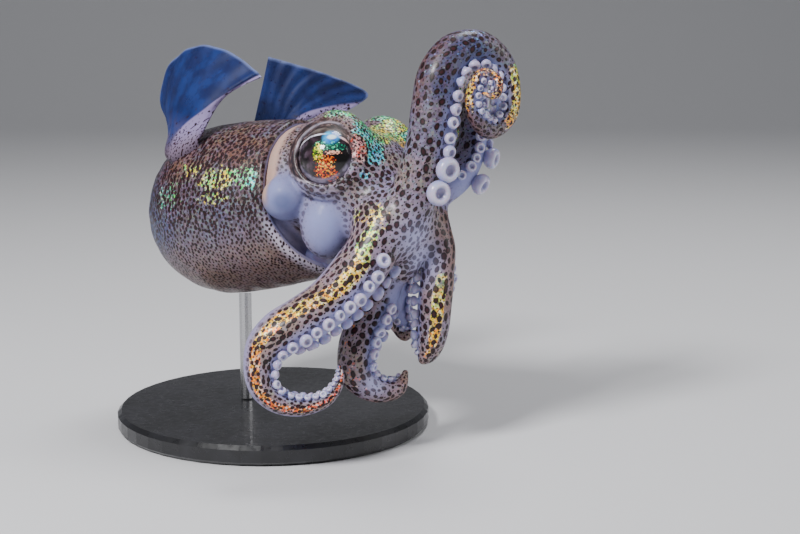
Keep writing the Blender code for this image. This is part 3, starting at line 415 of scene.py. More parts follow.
class SquidColours(bpy.types.PropertyGroup):
    """Tints of the skin, the spots and the base"""
    lilac: FloatVectorProperty(name="Lilac", description="Ground of the skin", subtype="COLOR",
                               default=shade("776c8e"))
    cream: FloatVectorProperty(name="Cream", description="Warm ground of the skin", subtype="COLOR",
                               default=shade("84706c"))
    milk: FloatVectorProperty(name="Milk", description="Bare lobes and inner sides", subtype="COLOR",
                              default=shade("949ace"))
    blush: FloatVectorProperty(name="Blush", description="Bare band behind the eyes", subtype="COLOR",
                               default=shade("bb9a8e"))
    slate: FloatVectorProperty(name="Slate", description="Blue ground of the raised arm and the rear",
                               subtype="COLOR", default=shade("2b3964"))
    pale: FloatVectorProperty(name="Pale", description="Edges of lids and keels", subtype="COLOR",
                              default=shade("ddd3ea"))
    umber: FloatVectorProperty(name="Umber", description="Brown wash between the spots", subtype="COLOR",
                               default=shade("70452c"))
    plum: FloatVectorProperty(name="Plum", description="Folds of the lids", subtype="COLOR",
                              default=shade("1b1116"))
    maroon: FloatVectorProperty(name="Maroon", description="Large pigment spots", subtype="COLOR",
                                default=shade("3a0f1a"))
    ink: FloatVectorProperty(name="Ink", description="Small pigment spots", subtype="COLOR",
                             default=shade("080304"))
    base: FloatVectorProperty(name="Base", description="Display base", subtype="COLOR",
                              default=shade("17171a"))


class StageSettings(bpy.types.PropertyGroup):
    """Powers of the lights"""
    key: FloatProperty(name="Key light", description="Power of the main light", default=3.8, min=0.0,
                       unit="POWER")
    fill: FloatProperty(name="Fill light", description="Power of the soft side light", default=0.9, min=0.0,
                        unit="POWER")
    top: FloatProperty(name="Top light", description="Power of the light from above and behind", default=1.2,
                       min=0.0, unit="POWER")
    room: FloatProperty(name="Room light", description="Brightness of the room", default=0.25, min=0.0,
                        subtype="FACTOR")


def sizes():
    """The sizes set in the panel."""
    return bpy.context.scene.squid_sizes


def colours():
    """The colours set in the panel."""
    return bpy.context.scene.squid_colours


def stage():
    """The powers of the lights set in the panel."""
    return bpy.context.scene.squid_stage


def unit(vector):
    """Vectors of length one the same way."""
    vector = np.asarray(vector, float)
    return vector / np.maximum(np.linalg.norm(vector, axis=-1, keepdims=True), 1e-12)


def to_world(points):
    """Points from the squid's millimetres to the display's metres."""
    turn = np.array(PLACE.to_3x3())
    return np.asarray(points, float) @ turn.T * MM + np.array(PLACE.translation)


def from_world(points):
    """Points from the display's metres to the squid's millimetres."""
    turn = np.array(PLACE.to_3x3())
    return (np.asarray(points, float) - np.array(PLACE.translation)) @ turn / MM


def bump(points, centre, half_sizes):
    """A soft mask: one at the centre, falling off over the half sizes."""
    reach = (np.asarray(points) - np.asarray(centre)) / np.asarray(half_sizes)
    return np.exp(-np.sum(reach ** 2, axis=-1))


def patched(points, patches, sides=(-1.0, 1.0)):
    """The strongest of some soft patches at each point, alike on both sides unless told otherwise."""
    best = np.zeros(len(points))
    for strength, centre, half_sizes in patches:
        for side in sides:
            best = np.maximum(best, strength * bump(points * (1.0, side, 1.0), centre, half_sizes))
    return np.clip(best, 0.0, 1.0)


def shine(points, patches, sides=(-1.0, 1.0)):
    """Strength and hue of the mirror cells at each point."""
    strength = np.zeros(len(points))
    hue = np.full(len(points), 1e-6 * 0.5)
    weight = np.full(len(points), 1e-6)
    for most, colour, centre, half_sizes in patches:
        for side in sides:
            here = most * bump(points * (1.0, side, 1.0), centre, half_sizes)
            strength = np.maximum(strength, here)
            hue += here * colour
            weight += here
    return strength, hue / weight


def ease(value, low, high):
    """From nought at low to one at high, level at both ends."""
    share = np.clip((np.asarray(value, float) - low) / (high - low), 0.0, 1.0)
    return share * share * (3.0 - 2.0 * share)


def between(share, size, here, there, leaving, arriving):
    """A cubic between two values with given slopes."""
    return ((2 * share**3 - 3 * share**2 + 1) * here + (3 * share**2 - 2 * share**3) * there
            + (share**3 - 2 * share**2 + share) * size * leaving + (share**3 - share**2) * size * arriving)


def smooth_line(points, shares):
    """Rows at shares of the length of a curve through rows of values, and its length."""
    points = np.asarray(points, float)
    run = np.concatenate([[0.0], np.cumsum(np.linalg.norm(np.diff(points[:, :3], axis=0), axis=1))])
    gaps = np.diff(run)[:, None]
    slopes = np.diff(points, axis=0) / gaps
    middle = (slopes[1:] * gaps[:-1] + slopes[:-1] * gaps[1:]) / (gaps[1:] + gaps[:-1])
    ends = np.vstack([1.5 * slopes[:1] - 0.5 * middle[:1], middle, 1.5 * slopes[-1:] - 0.5 * middle[-1:]])

    def at(distance):
        span = np.clip(np.searchsorted(run, distance, side="right") - 1, 0, len(gaps) - 1)
        share = ((distance - run[span]) / gaps[span, 0])[:, None]
        return between(share, gaps[span], points[span], points[span + 1], ends[span], ends[span + 1])

    dense = np.linspace(0.0, run[-1], 40 * len(points))
    length = np.concatenate([[0.0], np.cumsum(np.linalg.norm(np.diff(at(dense)[:, :3], axis=0), axis=1))])
    return at(np.interp(np.asarray(shares) * length[-1], length, dense)), length[-1]


def even_blend(knots, values, wanted):
    """A smooth curve through values at even knots."""
    step = knots[1] - knots[0]
    slopes = np.gradient(values, step, axis=0)
    span = np.clip((wanted / step).astype(int), 0, len(knots) - 2)
    share = ((wanted - knots[span]) / step)[:, None]
    return between(share, step, values[span], values[span + 1], slopes[span], slopes[span + 1])


class Arm:
    """One arm: its route with radii, the side its suckers face, and a keel along its back."""

    def __init__(self, name, route, inner, keel=0.0, bare=0.0, large=()):
        self.name = name
        self.route = np.asarray(route, float)
        self.inner = inner
        self.keel = keel
        self.bare = bare
        self.large = large
        self.length = smooth_line(self.route, (0.0, 1.0))[1]
        self.shares = np.linspace(0.0, 1.0, int(self.length / 0.35))
        self.centre, self.radius, self.along, self.facing, self.across = self.at(self.shares)

    def at(self, shares):
        """Centre, radius and the ways along, towards the suckers and across, at shares of the length."""
        shares = np.atleast_1d(np.asarray(shares, float))
        small = 0.004
        row, _ = smooth_line(self.route, shares)
        ahead, _ = smooth_line(self.route, np.minimum(shares + small, 1.0))
        behind, _ = smooth_line(self.route, np.maximum(shares - small, 0.0))
        along = unit(ahead[:, :3] - behind[:, :3])
        marks = [mark for mark, _ in self.inner]
        targets = np.array([target for _, target in self.inner])
        target = np.stack([np.interp(shares, marks, targets[:, axis]) for axis in range(3)], axis=1)
        facing = target - row[:, :3]
        facing = unit(facing - along * np.sum(facing * along, axis=1, keepdims=True))
        return row[:, :3], row[:, 3], along, facing, np.cross(along, facing)

    def measure(self, points):
        """Distance to the arm's skin, the way off it, the share along it and the turn round it."""
        count = len(points)
        distance = np.full(count, 60.0)
        way = np.tile(np.array([1.0, 0.0, 0.0]), (count, 1))
        share = np.zeros(count)
        turn = np.zeros(count)
        room = self.radius.max() + 6.0
        low = self.centre.min(axis=0) - room
        high = self.centre.max(axis=0) + room
        near = np.nonzero(np.all((points > low) & (points < high), axis=1))[0]
        for part in np.array_split(near, max(1, len(near) // 6000)):
            if len(part) == 0:
                continue
            here = points[part]
            square = np.sum(here ** 2, axis=1)[:, None] + np.sum(self.centre ** 2, axis=1)[None]
            square = square - 2.0 * here @ self.centre.T
            nearest = np.argmin(np.sqrt(np.maximum(square, 0.0)) - self.radius[None], axis=1)
            step = np.where(np.sum((here - self.centre[nearest]) * self.along[nearest], axis=1) > 0.0, 1, -1)
            other = np.clip(nearest + step, 0, len(self.shares) - 1)
            span = self.centre[other] - self.centre[nearest]
            reach = np.sum((here - self.centre[nearest]) * span, axis=1)
            part_way = np.clip(reach / np.maximum(np.sum(span ** 2, axis=1), 1e-9), 0.0, 1.0)[:, None]

            def mixed(values):
                return values[nearest] + (values[other] - values[nearest]) * (part_way if values.ndim > 1
                                                                              else part_way[:, 0])

            off = here - mixed(self.centre)
            size = np.linalg.norm(off, axis=1)
            angle = np.arctan2(np.sum(off * mixed(self.across), axis=1),
                               np.sum(off * mixed(self.facing), axis=1))
            share[part] = mixed(self.shares)
            turn[part] = angle
            back = np.exp(-((np.abs(angle) - math.pi) / KEEL_WIDTH) ** 2)
            swell = 1.0 + self.keel * back * np.sin(math.pi * np.clip(share[part], 0.02, 0.98))
            distance[part] = size - mixed(self.radius) * swell
            way[part] = off / np.maximum(size, 1e-9)[:, None]
        return distance, way, share, turn


def melt(first, second, width, first_way, second_way):
    """Two distances joined with a fillet, and the way off the joined skin."""
    overlap = np.maximum(width - np.abs(first - second), 0.0) / width
    joined = np.minimum(first, second) - 0.25 * width * overlap ** 2
    weight = np.where(first < second, 1.0 - 0.5 * overlap, 0.5 * overlap)[:, None]
    return joined, first_way * weight + second_way * (1.0 - weight)


def mass_distance(points, centre, half_sizes):
    """Distance to a rounded mass and the way off it."""
    half_sizes = np.asarray(half_sizes, float)
    off = points - np.asarray(centre)
    scaled = off / half_sizes
    steep = off / half_sizes ** 2
    size = np.linalg.norm(scaled, axis=1)
    slope = np.maximum(np.linalg.norm(steep, axis=1), 1e-9)
    return size * (size - 1.0) / slope, steep / slope[:, None]


def eye_place(side):
    """Centre of an eye and the way it looks; side is -1 for the right and 1 for the left."""
    centre = np.array([EYE_AT[0], side * EYE_AT[1], EYE_AT[2]])
    way = unit(np.array([EYE_WAY[0], side * EYE_WAY[1], EYE_WAY[2]]))
    return centre, way


def eye_axes(side, way):
    """The ways ahead and up across the face of an eye."""
    ahead = unit(np.cross(np.array([0.0, 0.0, 1.0]), way) * -side)
    up = unit(np.cross(way, ahead) * -side)
    return ahead, up


def hoop_distance(points, centre, axis, radius, thick):
    """Distance to a rounded hoop about an axis, and the way off it."""
    off = points - centre
    height = off @ axis
    flat = off - height[:, None] * axis
    reach = np.maximum(np.linalg.norm(flat, axis=1), 1e-9)
    size = np.maximum(np.hypot(reach - radius, height), 1e-9)
    way = (flat / reach[:, None] * ((reach - radius) / size)[:, None] + axis * (height / size)[:, None])
    return size - thick, way


class Skin:
    """The skin of head, crown and arms as a distance that can be asked anywhere."""

    def __init__(self, arms):
        self.arms = arms
        self.masses = [(mass, HEAD_FILLET) for mass in CENTRE_MASSES]
        for (at, half_sizes), fillet in ((EYE_BULGE, HEAD_FILLET), *((lobe, LOBE_FILLET) for lobe in LOBES)):
            for side in (-1, 1):
                self.masses.append((((at[0], side * at[1], at[2]), half_sizes), fillet))

    def head(self, points):
        """Distance to the head with its lobes, collar and lids, and the way off it."""
        distance, way = mass_distance(points, *self.masses[0][0])
        for mass, fillet in self.masses[1:]:
            other, other_way = mass_distance(points, *mass)
            distance, way = melt(distance, other, fillet, way, other_way)
        other, other_way = mass_distance(points, *COLLAR)
        distance, way = melt(distance + HEAD_SHRINK, other, COLLAR_FILLET, way, other_way)
        for side in (-1, 1):
            centre, axis = eye_place(side)
            for height, radius, thick in LID_FOLDS:
                other, other_way = hoop_distance(points, centre + height * axis, axis, radius, thick)
                distance, way = melt(distance, other, LID_FILLET, way, other_way)
        return distance, way

    def measure(self, points):
        """Distance, way off the skin, and for each point its arm, or -1, with share and turn there."""
        distance, way = self.head(points)
        best = distance.copy()
        owner = np.full(len(points), -1)
        share = np.zeros(len(points))
        turn = np.zeros(len(points))
        for index, arm in enumerate(self.arms):
            other, other_way, other_share, other_turn = arm.measure(points)
            closer = other < best
            owner[closer] = index
            share[closer] = other_share[closer]
            turn[closer] = other_turn[closer]
            best = np.minimum(best, other)
            root = 1.0 - ease(other_share * arm.length, *ROOT_ENDS)
            width = FREE_FILLET + (ROOT_FILLET - FREE_FILLET) * root
            distance, way = melt(distance, other, width, way, other_way)
        return distance, way, owner, share, turn

    def settle(self, points, rounds=1):
        """Points drawn onto the skin."""
        for _ in range(rounds):
            distance, way = self.measure(points)[:2]
            points = points - way * np.clip(distance, -1.5, 1.5)[:, None]
        return points


def placed(name, data):
    """An object in the scene from a mesh, a camera or a lamp."""
    thing = bpy.data.objects.new(name, data)
    bpy.context.scene.collection.objects.link(thing)
    return thing


def mesh_object(name, points, faces):
    """A smooth mesh from points in the squid's millimetres, its faces outward."""
    mesh = bpy.data.meshes.new(name)
    mesh.from_pydata(to_world(points).tolist(), [], faces)
    shape = bmesh.new()
    shape.from_mesh(mesh)
    bmesh.ops.recalc_face_normals(shape, faces=shape.faces)
    if shape.calc_volume(signed=True) < 0.0:
        bmesh.ops.reverse_faces(shape, faces=shape.faces)
    shape.to_mesh(mesh)
    shape.free()
    mesh.shade_smooth()
    return placed(name, mesh)


def loft_faces(rings, sides, closed_ends=True):
    """Faces between rings of equal count, and over both ends where wanted."""
    faces = []
    for ring in range(rings - 1):
        for side in range(sides):
            after = (side + 1) % sides
            low = ring * sides
            high = low + sides
            faces.append((low + side, low + after, high + after, high + side))
    if closed_ends:
        faces.append(tuple(range(sides))[::-1])
        faces.append(tuple(range((rings - 1) * sides, rings * sides)))
    return faces


def pointed_loft(rings, first, last):
    """Points and faces of rings of equal count that close on a single point at each end."""
    rings = np.asarray(rings, float)
    count, sides = rings.shape[:2]
    points = np.vstack([rings.reshape(-1, 3), [first], [last]])
    faces = loft_faces(count, sides, closed_ends=False)
    start = count * sides
    for side in range(sides):
        after = (side + 1) % sides
        faces.append((start, after, side))
        faces.append((start + 1, start - sides + side, start - sides + after))
    return points, faces


def ball(name, centre, half_sizes, sides=32):
    """A rounded mass with its poles ahead and behind."""
    rings = []
    for step in range(1, sides // 2):
        angle = math.pi * step / (sides // 2)
        turns = np.arange(sides) * 2.0 * math.pi / sides
        rings.append(np.stack([np.full(sides, math.cos(angle)), math.sin(angle) * np.cos(turns),
                               math.sin(angle) * np.sin(turns)], axis=1))
    points, faces = pointed_loft(rings, (1.0, 0.0, 0.0), (-1.0, 0.0, 0.0))
    return mesh_object(name, points * np.asarray(half_sizes) + np.asarray(centre), faces)


def hoop(name, centre, axis, radius, thick, sides=48, around=12):
    """A rounded ring about an axis."""
    turn_to = Vector(axis).to_track_quat("Z", "Y").to_matrix()
    points = []
    for turn in np.arange(sides) * 2.0 * math.pi / sides:
        for bend in np.arange(around) * 2.0 * math.pi / around:
            reach = radius + thick * math.cos(bend)
            local = Vector((reach * math.cos(turn), reach * math.sin(turn), thick * math.sin(bend)))
            points.append(np.array(centre) + np.array(turn_to @ local))
    faces = []
    for ring in range(sides):
        for step in range(around):
            faces.append((ring * around + step, ring * around + (step + 1) % around,
                          (ring + 1) % sides * around + (step + 1) % around,
                          (ring + 1) % sides * around + step))
    return mesh_object(name, points, faces)


def arm_tube(arm, sides=20):
    """The plain closed tube of an arm, the start of its skin."""
    angle = np.arange(sides) * 2.0 * math.pi / sides
    back = np.exp(-((angle - math.pi) / KEEL_WIDTH) ** 2)
    swell = 1.0 + arm.keel * back[None] * np.sin(math.pi * np.clip(arm.shares, 0.02, 0.98))[:, None]
    around = (np.cos(angle)[None, :, None] * arm.facing[:, None] + np.sin(angle)[None, :, None]
              * arm.across[:, None])
    rings = arm.centre[:, None] + arm.radius[:, None, None] * swell[:, :, None] * around
    points, faces = pointed_loft(rings, arm.centre[0], arm.centre[-1] + arm.along[-1] * arm.radius[-1])
    return mesh_object("tube", points, faces)


def joined(things, name):
    """One object from several; the others are removed."""
    shape = bmesh.new()
    for thing in things:
        shape.from_mesh(thing.data)
    mesh = bpy.data.meshes.new(name)
    shape.to_mesh(mesh)
    shape.free()
    for thing in things:
        bpy.data.objects.remove(thing, do_unlink=True)
    return placed(name, mesh)


def evaluated_mesh(thing):
    """A plain mesh of the object with its modifiers."""
    bpy.context.view_layer.update()
    seen = thing.evaluated_get(bpy.context.evaluated_depsgraph_get())
    return bpy.data.meshes.new_from_object(seen)


def mesh_points(mesh):
    """Places of a mesh's points, a row for each."""
    points = np.empty(len(mesh.vertices) * 3)
    mesh.vertices.foreach_get("co", points)
    return points.reshape(-1, 3)


def mesh_normals(mesh):
    """Ways off the surface at a mesh's points, a row for each."""
    normals = np.empty(len(mesh.vertices) * 3)
    mesh.vertex_normals.foreach_get("vector", normals)
    return normals.reshape(-1, 3)


def set_points(mesh, points):
    """Moves a mesh's points to new places."""
    mesh.vertices.foreach_set("co", np.asarray(points, float).ravel())
    mesh.update()


def store(mesh, name, values):
    """A vertex attribute from one number or one vector for each point."""
    values = np.asarray(values, np.float32)
    kind, field = ("FLOAT_VECTOR", "vector") if values.ndim == 2 else ("FLOAT", "value")
    mesh.attributes.new(name, kind, "POINT").data.foreach_set(field, values.ravel())


def neighbour_mean(points, edges):
    """The mean place of the neighbours of each point."""
    total = np.zeros_like(points)
    for axis in range(3):
        total[:, axis] = (np.bincount(edges[:, 0], points[edges[:, 1], axis], len(points))
                          + np.bincount(edges[:, 1], points[edges[:, 0], axis], len(points)))
    count = np.bincount(edges.ravel(), minlength=len(points))
    return total / np.maximum(count, 1)[:, None]


def scatter(points, room, rng, taken=(), clear=()):
    """Indices of points kept at least their own room apart, and clear of those already taken."""
    tree = KDTree(len(points))
    for index, point in enumerate(points):
        tree.insert(point, index)
    tree.balance()
    free = bytearray(b"\x01") * len(points)
    for index, reach in zip(taken, clear):
        for _, other, _ in tree.find_range(points[index], reach):
            free[other] = 0
    kept = []
    for index in rng.permutation(len(points)):
        if free[index] and room[index] > 0.0:
            kept.append(int(index))
            for _, other, _ in tree.find_range(points[index], room[index]):
                free[other] = 0
    return kept


def spot_values(points, normals, small, large, lie, seed):
    """How far each point is from the nearest pigment spot, in shares of the spot's radius, and its kind.

    small and large each hold the room between spots and their radius at every point, in millimetres.
    The spots are longer along lie.
    """
    rng = np.random.default_rng(seed)
    big = scatter(points, large[0], rng)
    clear = [1.2 * large[1][index] + small[1][index] for index in big]
    tiny = scatter(points, small[0], rng, big, clear)
    chosen = np.array(big + tiny)
    kind = np.repeat((1.0, 0.0), (len(big), len(tiny)))
    radius = np.where(kind > 0.5, large[1][chosen], small[1][chosen]) * rng.uniform(0.7, 1.2, len(chosen))
    stretch = rng.uniform(1.1, 1.95, len(chosen))
    axis = unit(lie[chosen] + 0.4 * rng.normal(size=(len(chosen), 3)))
    tone = rng.random(len(chosen))
    tree = KDTree(len(chosen))
    for index, spot in enumerate(chosen):
        tree.insert(points[spot], index)
    tree.balance()
    found = np.array([[index for _, index, _ in tree.find_n(point, 4)] for point in points])
    offset = points[:, None] - points[chosen[found]]
    offset -= normals[:, None] * np.sum(offset * normals[:, None], axis=2, keepdims=True)
    long_way = np.sum(offset * axis[found], axis=2) * (1.0 - 1.0 / stretch[found])
    offset -= axis[found] * long_way[:, :, None]
    reach = np.linalg.norm(offset, axis=2) * np.sqrt(stretch[found]) / radius[found]
    nearest = np.argmin(reach, axis=1)
    row = np.arange(len(points))
    spot = found[row, nearest]
    return dict(spot=np.minimum(reach[row, nearest], 3.0), spot_tone=tone[spot], spot_kind=kind[spot])


def split_skin(mesh, values, labels, parts, material):
    """Parts a mesh into finished pieces by the label of each face's first point.

    The pieces keep the normals of the whole, so no seam shows.
    """
    points = mesh_points(mesh)
    normals = mesh_normals(mesh)
    corner = np.empty(len(mesh.loops), int)
    mesh.loops.foreach_get("vertex_index", corner)
    start = np.empty(len(mesh.polygons), int)
    mesh.polygons.foreach_get("loop_start", start)
    ends = np.append(start[1:], len(corner))
    face_labels = labels[corner[start]]
    for number, (name, nodes) in enumerate(parts):
        chosen = np.nonzero(face_labels == number)[0]
        faces = [corner[start[index]:ends[index]] for index in chosen]
        used = np.unique(np.concatenate(faces))
        fresh = np.full(len(points), -1)
        fresh[used] = np.arange(len(used))
        piece = bpy.data.meshes.new(name)
        piece.from_pydata(points[used].tolist(), [], [fresh[face].tolist() for face in faces])
        for key, value in values.items():
            store(piece, key, value[used])
        piece.shade_smooth()
        piece.normals_split_custom_set_from_vertices(normals[used].tolist())
        finish_piece(placed(name, piece), material, "skin", *nodes)


class Wires:
    """Adds nodes to one tree and links them."""

    def __init__(self, tree):
        self.tree = tree

    def add(self, kind, inputs=None, **settings):
        made = self.tree.nodes.new(kind)
        for key, value in settings.items():
            setattr(made, key, value)
        for key, value in (inputs or {}).items():
            if isinstance(value, bpy.types.NodeSocket):
                self.tree.links.new(value, made.inputs[key])
            else:
                made.inputs[key].default_value = value
        return made

    def math(self, operation, first, second=0.0, clamp=False):
        made = self.add("ShaderNodeMath", {0: first, 1: second}, operation=operation)
        made.use_clamp = clamp
        return made.outputs[0]

    def plus(self, first, second, clamp=False):
        return self.math("ADD", first, second, clamp)

    def less(self, first, second, clamp=False):
        return self.math("SUBTRACT", first, second, clamp)

    def times(self, first, second):
        return self.math("MULTIPLY", first, second)

    def over(self, first, second):
        return self.math("DIVIDE", first, second)

    def most(self, first, second):
        return self.math("MAXIMUM", first, second)

    def apart(self, first, second):
        """How far two values are apart, whichever is the larger."""
        return self.math("ABSOLUTE", self.less(first, second))

    def length(self, first, second):
        """The length of a way from its two parts."""
        return self.math("SQRT", self.plus(self.times(first, first), self.times(second, second)))

    def mix(self, share, first, second):
        """A blend of two colours, each a socket, a six-figure code or numbers."""
        made = self.add("ShaderNodeMix", {0: share}, data_type="RGBA")
        for place, value in ((6, first), (7, second)):
            self.give(made.inputs[place], value)
        return made.outputs[2]

    def give(self, socket, value):
        """Links a socket to another one, or sets its colour or number."""
        if isinstance(value, bpy.types.NodeSocket):
            self.tree.links.new(value, socket)
        elif isinstance(value, (int, float)):
            socket.default_value = value
        else:
            socket.default_value = opaque(value)

    def span(self, value, low, high, first=0.0, last=1.0):
        """The first number up to low, the last from high on, with an eased way between."""
        made = self.add("ShaderNodeMapRange", {0: value, 1: low, 2: high, 3: first, 4: last},
                        interpolation_type="SMOOTHSTEP")
        return made.outputs[0]

    def attribute(self, name, vector=False):
        made = self.add("ShaderNodeAttribute", attribute_name=name)
        return made.outputs["Vector" if vector else "Fac"]

    def here(self):
        return self.add("ShaderNodeTexCoord").outputs["Object"]

    def noise(self, scale, detail=2.0, where=None, roughness=0.5):
        made = self.add("ShaderNodeTexNoise", {"Vector": where or self.here(), "Scale": scale,
                                               "Detail": detail, "Roughness": roughness})
        return made.outputs["Fac"]

    def cells(self, scale):
        return self.add("ShaderNodeTexVoronoi", {"Vector": self.here(), "Scale": scale}).outputs

    def picks(self, scale):
        """Three random numbers for each of the cells."""
        return self.add("ShaderNodeSeparateColor", {0: self.cells(scale)["Color"]}).outputs

    def ramp(self, value, stops):
        made = self.add("ShaderNodeValToRGB", {0: value})
        steps = made.color_ramp.elements
        while len(steps) < len(stops):
            steps.new(0.5)
        for step, (at, code) in zip(steps, stops):
            step.position = at
            step.color = opaque(code)
        return made.outputs[0]

    def raised(self, normal, height, strength, distance):
        """Turns a shader's normal by a height."""
        made = self.add("ShaderNodeBump", {"Height": height, "Strength": strength, "Distance": distance})
        self.give(normal, made.outputs[0])


def new_group(name, inputs, outputs):
    """A shader node group with named sockets, its inner wires and its ends."""
    tree = bpy.data.node_groups.new(name, "ShaderNodeTree")
    kinds = {"colour": "NodeSocketColor", "value": "NodeSocketFloat"}
    for label, kind in inputs:
        tree.interface.new_socket(label, in_out="INPUT", socket_type=kinds[kind])
    for label, kind in outputs:
        tree.interface.new_socket(label, in_out="OUTPUT", socket_type=kinds[kind])
    wires = Wires(tree)
    start = wires.add("NodeGroupInput")
    end = wires.add("NodeGroupOutput")
    return tree, wires, start.outputs, end.inputs


def spot_group():
    """Pigment spots: a dark rim and, in the large ones, a redder middle, over any ground."""
    if "pigment spots" in bpy.data.node_groups:
        return bpy.data.node_groups["pigment spots"]
    tree, wires, given, out = new_group(
        "pigment spots", [("Ground", "colour"), ("Maroon", "colour"), ("Ink", "colour"), ("Fade", "value")],
        [("Colour", "colour"), ("Mask", "value")])
    ragged = wires.times(wires.less(wires.noise(2400.0, 2.0), 0.5), 0.5)
    reach = wires.plus(wires.attribute("spot"), ragged)
    mask = wires.span(reach, 0.92, 1.12, 1.0, 0.0)
    middle = wires.mix(wires.span(reach, 0.35, 0.8), given["Maroon"], given["Ink"])
    middle = wires.mix(wires.times(wires.attribute("spot_tone"), 0.6), middle, given["Ink"])
    colour = wires.mix(wires.attribute("spot_kind"), given["Ink"], middle)
    left = wires.less(1.0, given["Fade"], clamp=True)
    halo = wires.times(wires.span(reach, 1.0, 1.5, 0.35, 0.0), left)
    shown = wires.times(mask, left)
    wires.give(out["Colour"], wires.mix(shown, wires.mix(halo, given["Ground"], given["Maroon"]), colour))
    wires.give(out["Mask"], shown)
    return tree


def fleck_group():
    """Mirror cells: fine grains of shifting hue that show where their amount is high."""
    if "mirror cells" in bpy.data.node_groups:
        return bpy.data.node_groups["mirror cells"]
    tree, wires, given, out = new_group(
        "mirror cells", [("Ground", "colour"), ("Amount", "value"), ("Hue", "value"), ("Scale", "value")],
        [("Colour", "colour"), ("Mask", "value")])
    pick = wires.picks(given["Scale"])
    drift = wires.times(wires.less(wires.noise(420.0, 2.0), 0.5), 0.45)
    jitter = wires.times(wires.less(pick[0], 0.5), 0.2)
    colour = wires.ramp(wires.plus(wires.plus(given["Hue"], drift), jitter), HUES)
    colour = wires.mix(wires.span(pick[1], 0.45, 1.0, 0.0, 0.7), colour, (0.95, 0.96, 0.86))
    colour = wires.mix(wires.span(pick[2], 0.1, 0.55, 0.85, 0.0), colour, (0.02, 0.018, 0.02))
    patchy = wires.plus(wires.noise(760.0, 3.0), wires.times(pick[2], 0.35))
    need = wires.span(given["Amount"], 0.0, 1.0, 1.15, 0.1)
    mask = wires.span(wires.less(patchy, need), -0.1, 0.1)
    mask = wires.times(mask, wires.span(given["Amount"], 0.02, 0.3))
    wires.give(out["Colour"], wires.mix(mask, given["Ground"], colour))
    wires.give(out["Mask"], mask)
    return tree


def fold_group():
    """Height of the skin's fine wrinkles and grain."""
    if "skin folds" in bpy.data.node_groups:
        return bpy.data.node_groups["skin folds"]
    tree, wires, given, out = new_group("skin folds", [("Scale", "value")], [("Height", "value")])
    wide = wires.noise(wires.times(given["Scale"], 0.35), 3.0)
    fine = wires.noise(given["Scale"], 4.0, roughness=0.6)
    cells = wires.cells(wires.times(given["Scale"], 1.6))["Distance"]
    total = wires.plus(wires.times(wide, 0.6), wires.times(fine, 0.3))
    wires.give(out["Height"], wires.plus(total, wires.times(cells, 0.12)))
    return tree


def glint_group():
    """Fine grain of living skin: cells that play from rose to green and blue about the ground."""
    if "skin grain" in bpy.data.node_groups:
        return bpy.data.node_groups["skin grain"]
    tree, wires, given, out = new_group("skin grain", [("Ground", "colour"), ("Amount", "value")],
                                        [("Colour", "colour")])
    pick = wires.picks(2300.0)
    drift = wires.times(wires.noise(260.0, 2.0), 0.35)
    tint = wires.ramp(wires.plus(wires.times(pick[0], 0.7), drift), GRAIN)
    share = wires.times(wires.span(pick[1], 0.1, 1.0), given["Amount"])
    colour = wires.mix(share, given["Ground"], tint)
    wires.give(out["Colour"], wires.mix(wires.span(pick[2], 0.0, 0.4, 0.6, 0.0), colour, "2a1d24"))
    return tree


def new_material(name, **fixed):
    """A material whose shader has the fixed values; returns it, its wires and its shader's sockets."""
    material = bpy.data.materials.new(name)
    material.use_nodes = True
    sockets = material.node_tree.nodes["Principled BSDF"].inputs
    for label, value in fixed.items():
        sockets[label.replace("_", " ")].default_value = value
    return material, Wires(material.node_tree), sockets


def place_group(wires, group, **inputs):
    """A shader group with its inputs linked or set; returns its outputs."""
    made = wires.add("ShaderNodeGroup")
    made.node_tree = group
    for label, value in inputs.items():
        wires.give(made.inputs[label], value)
    return made.outputs


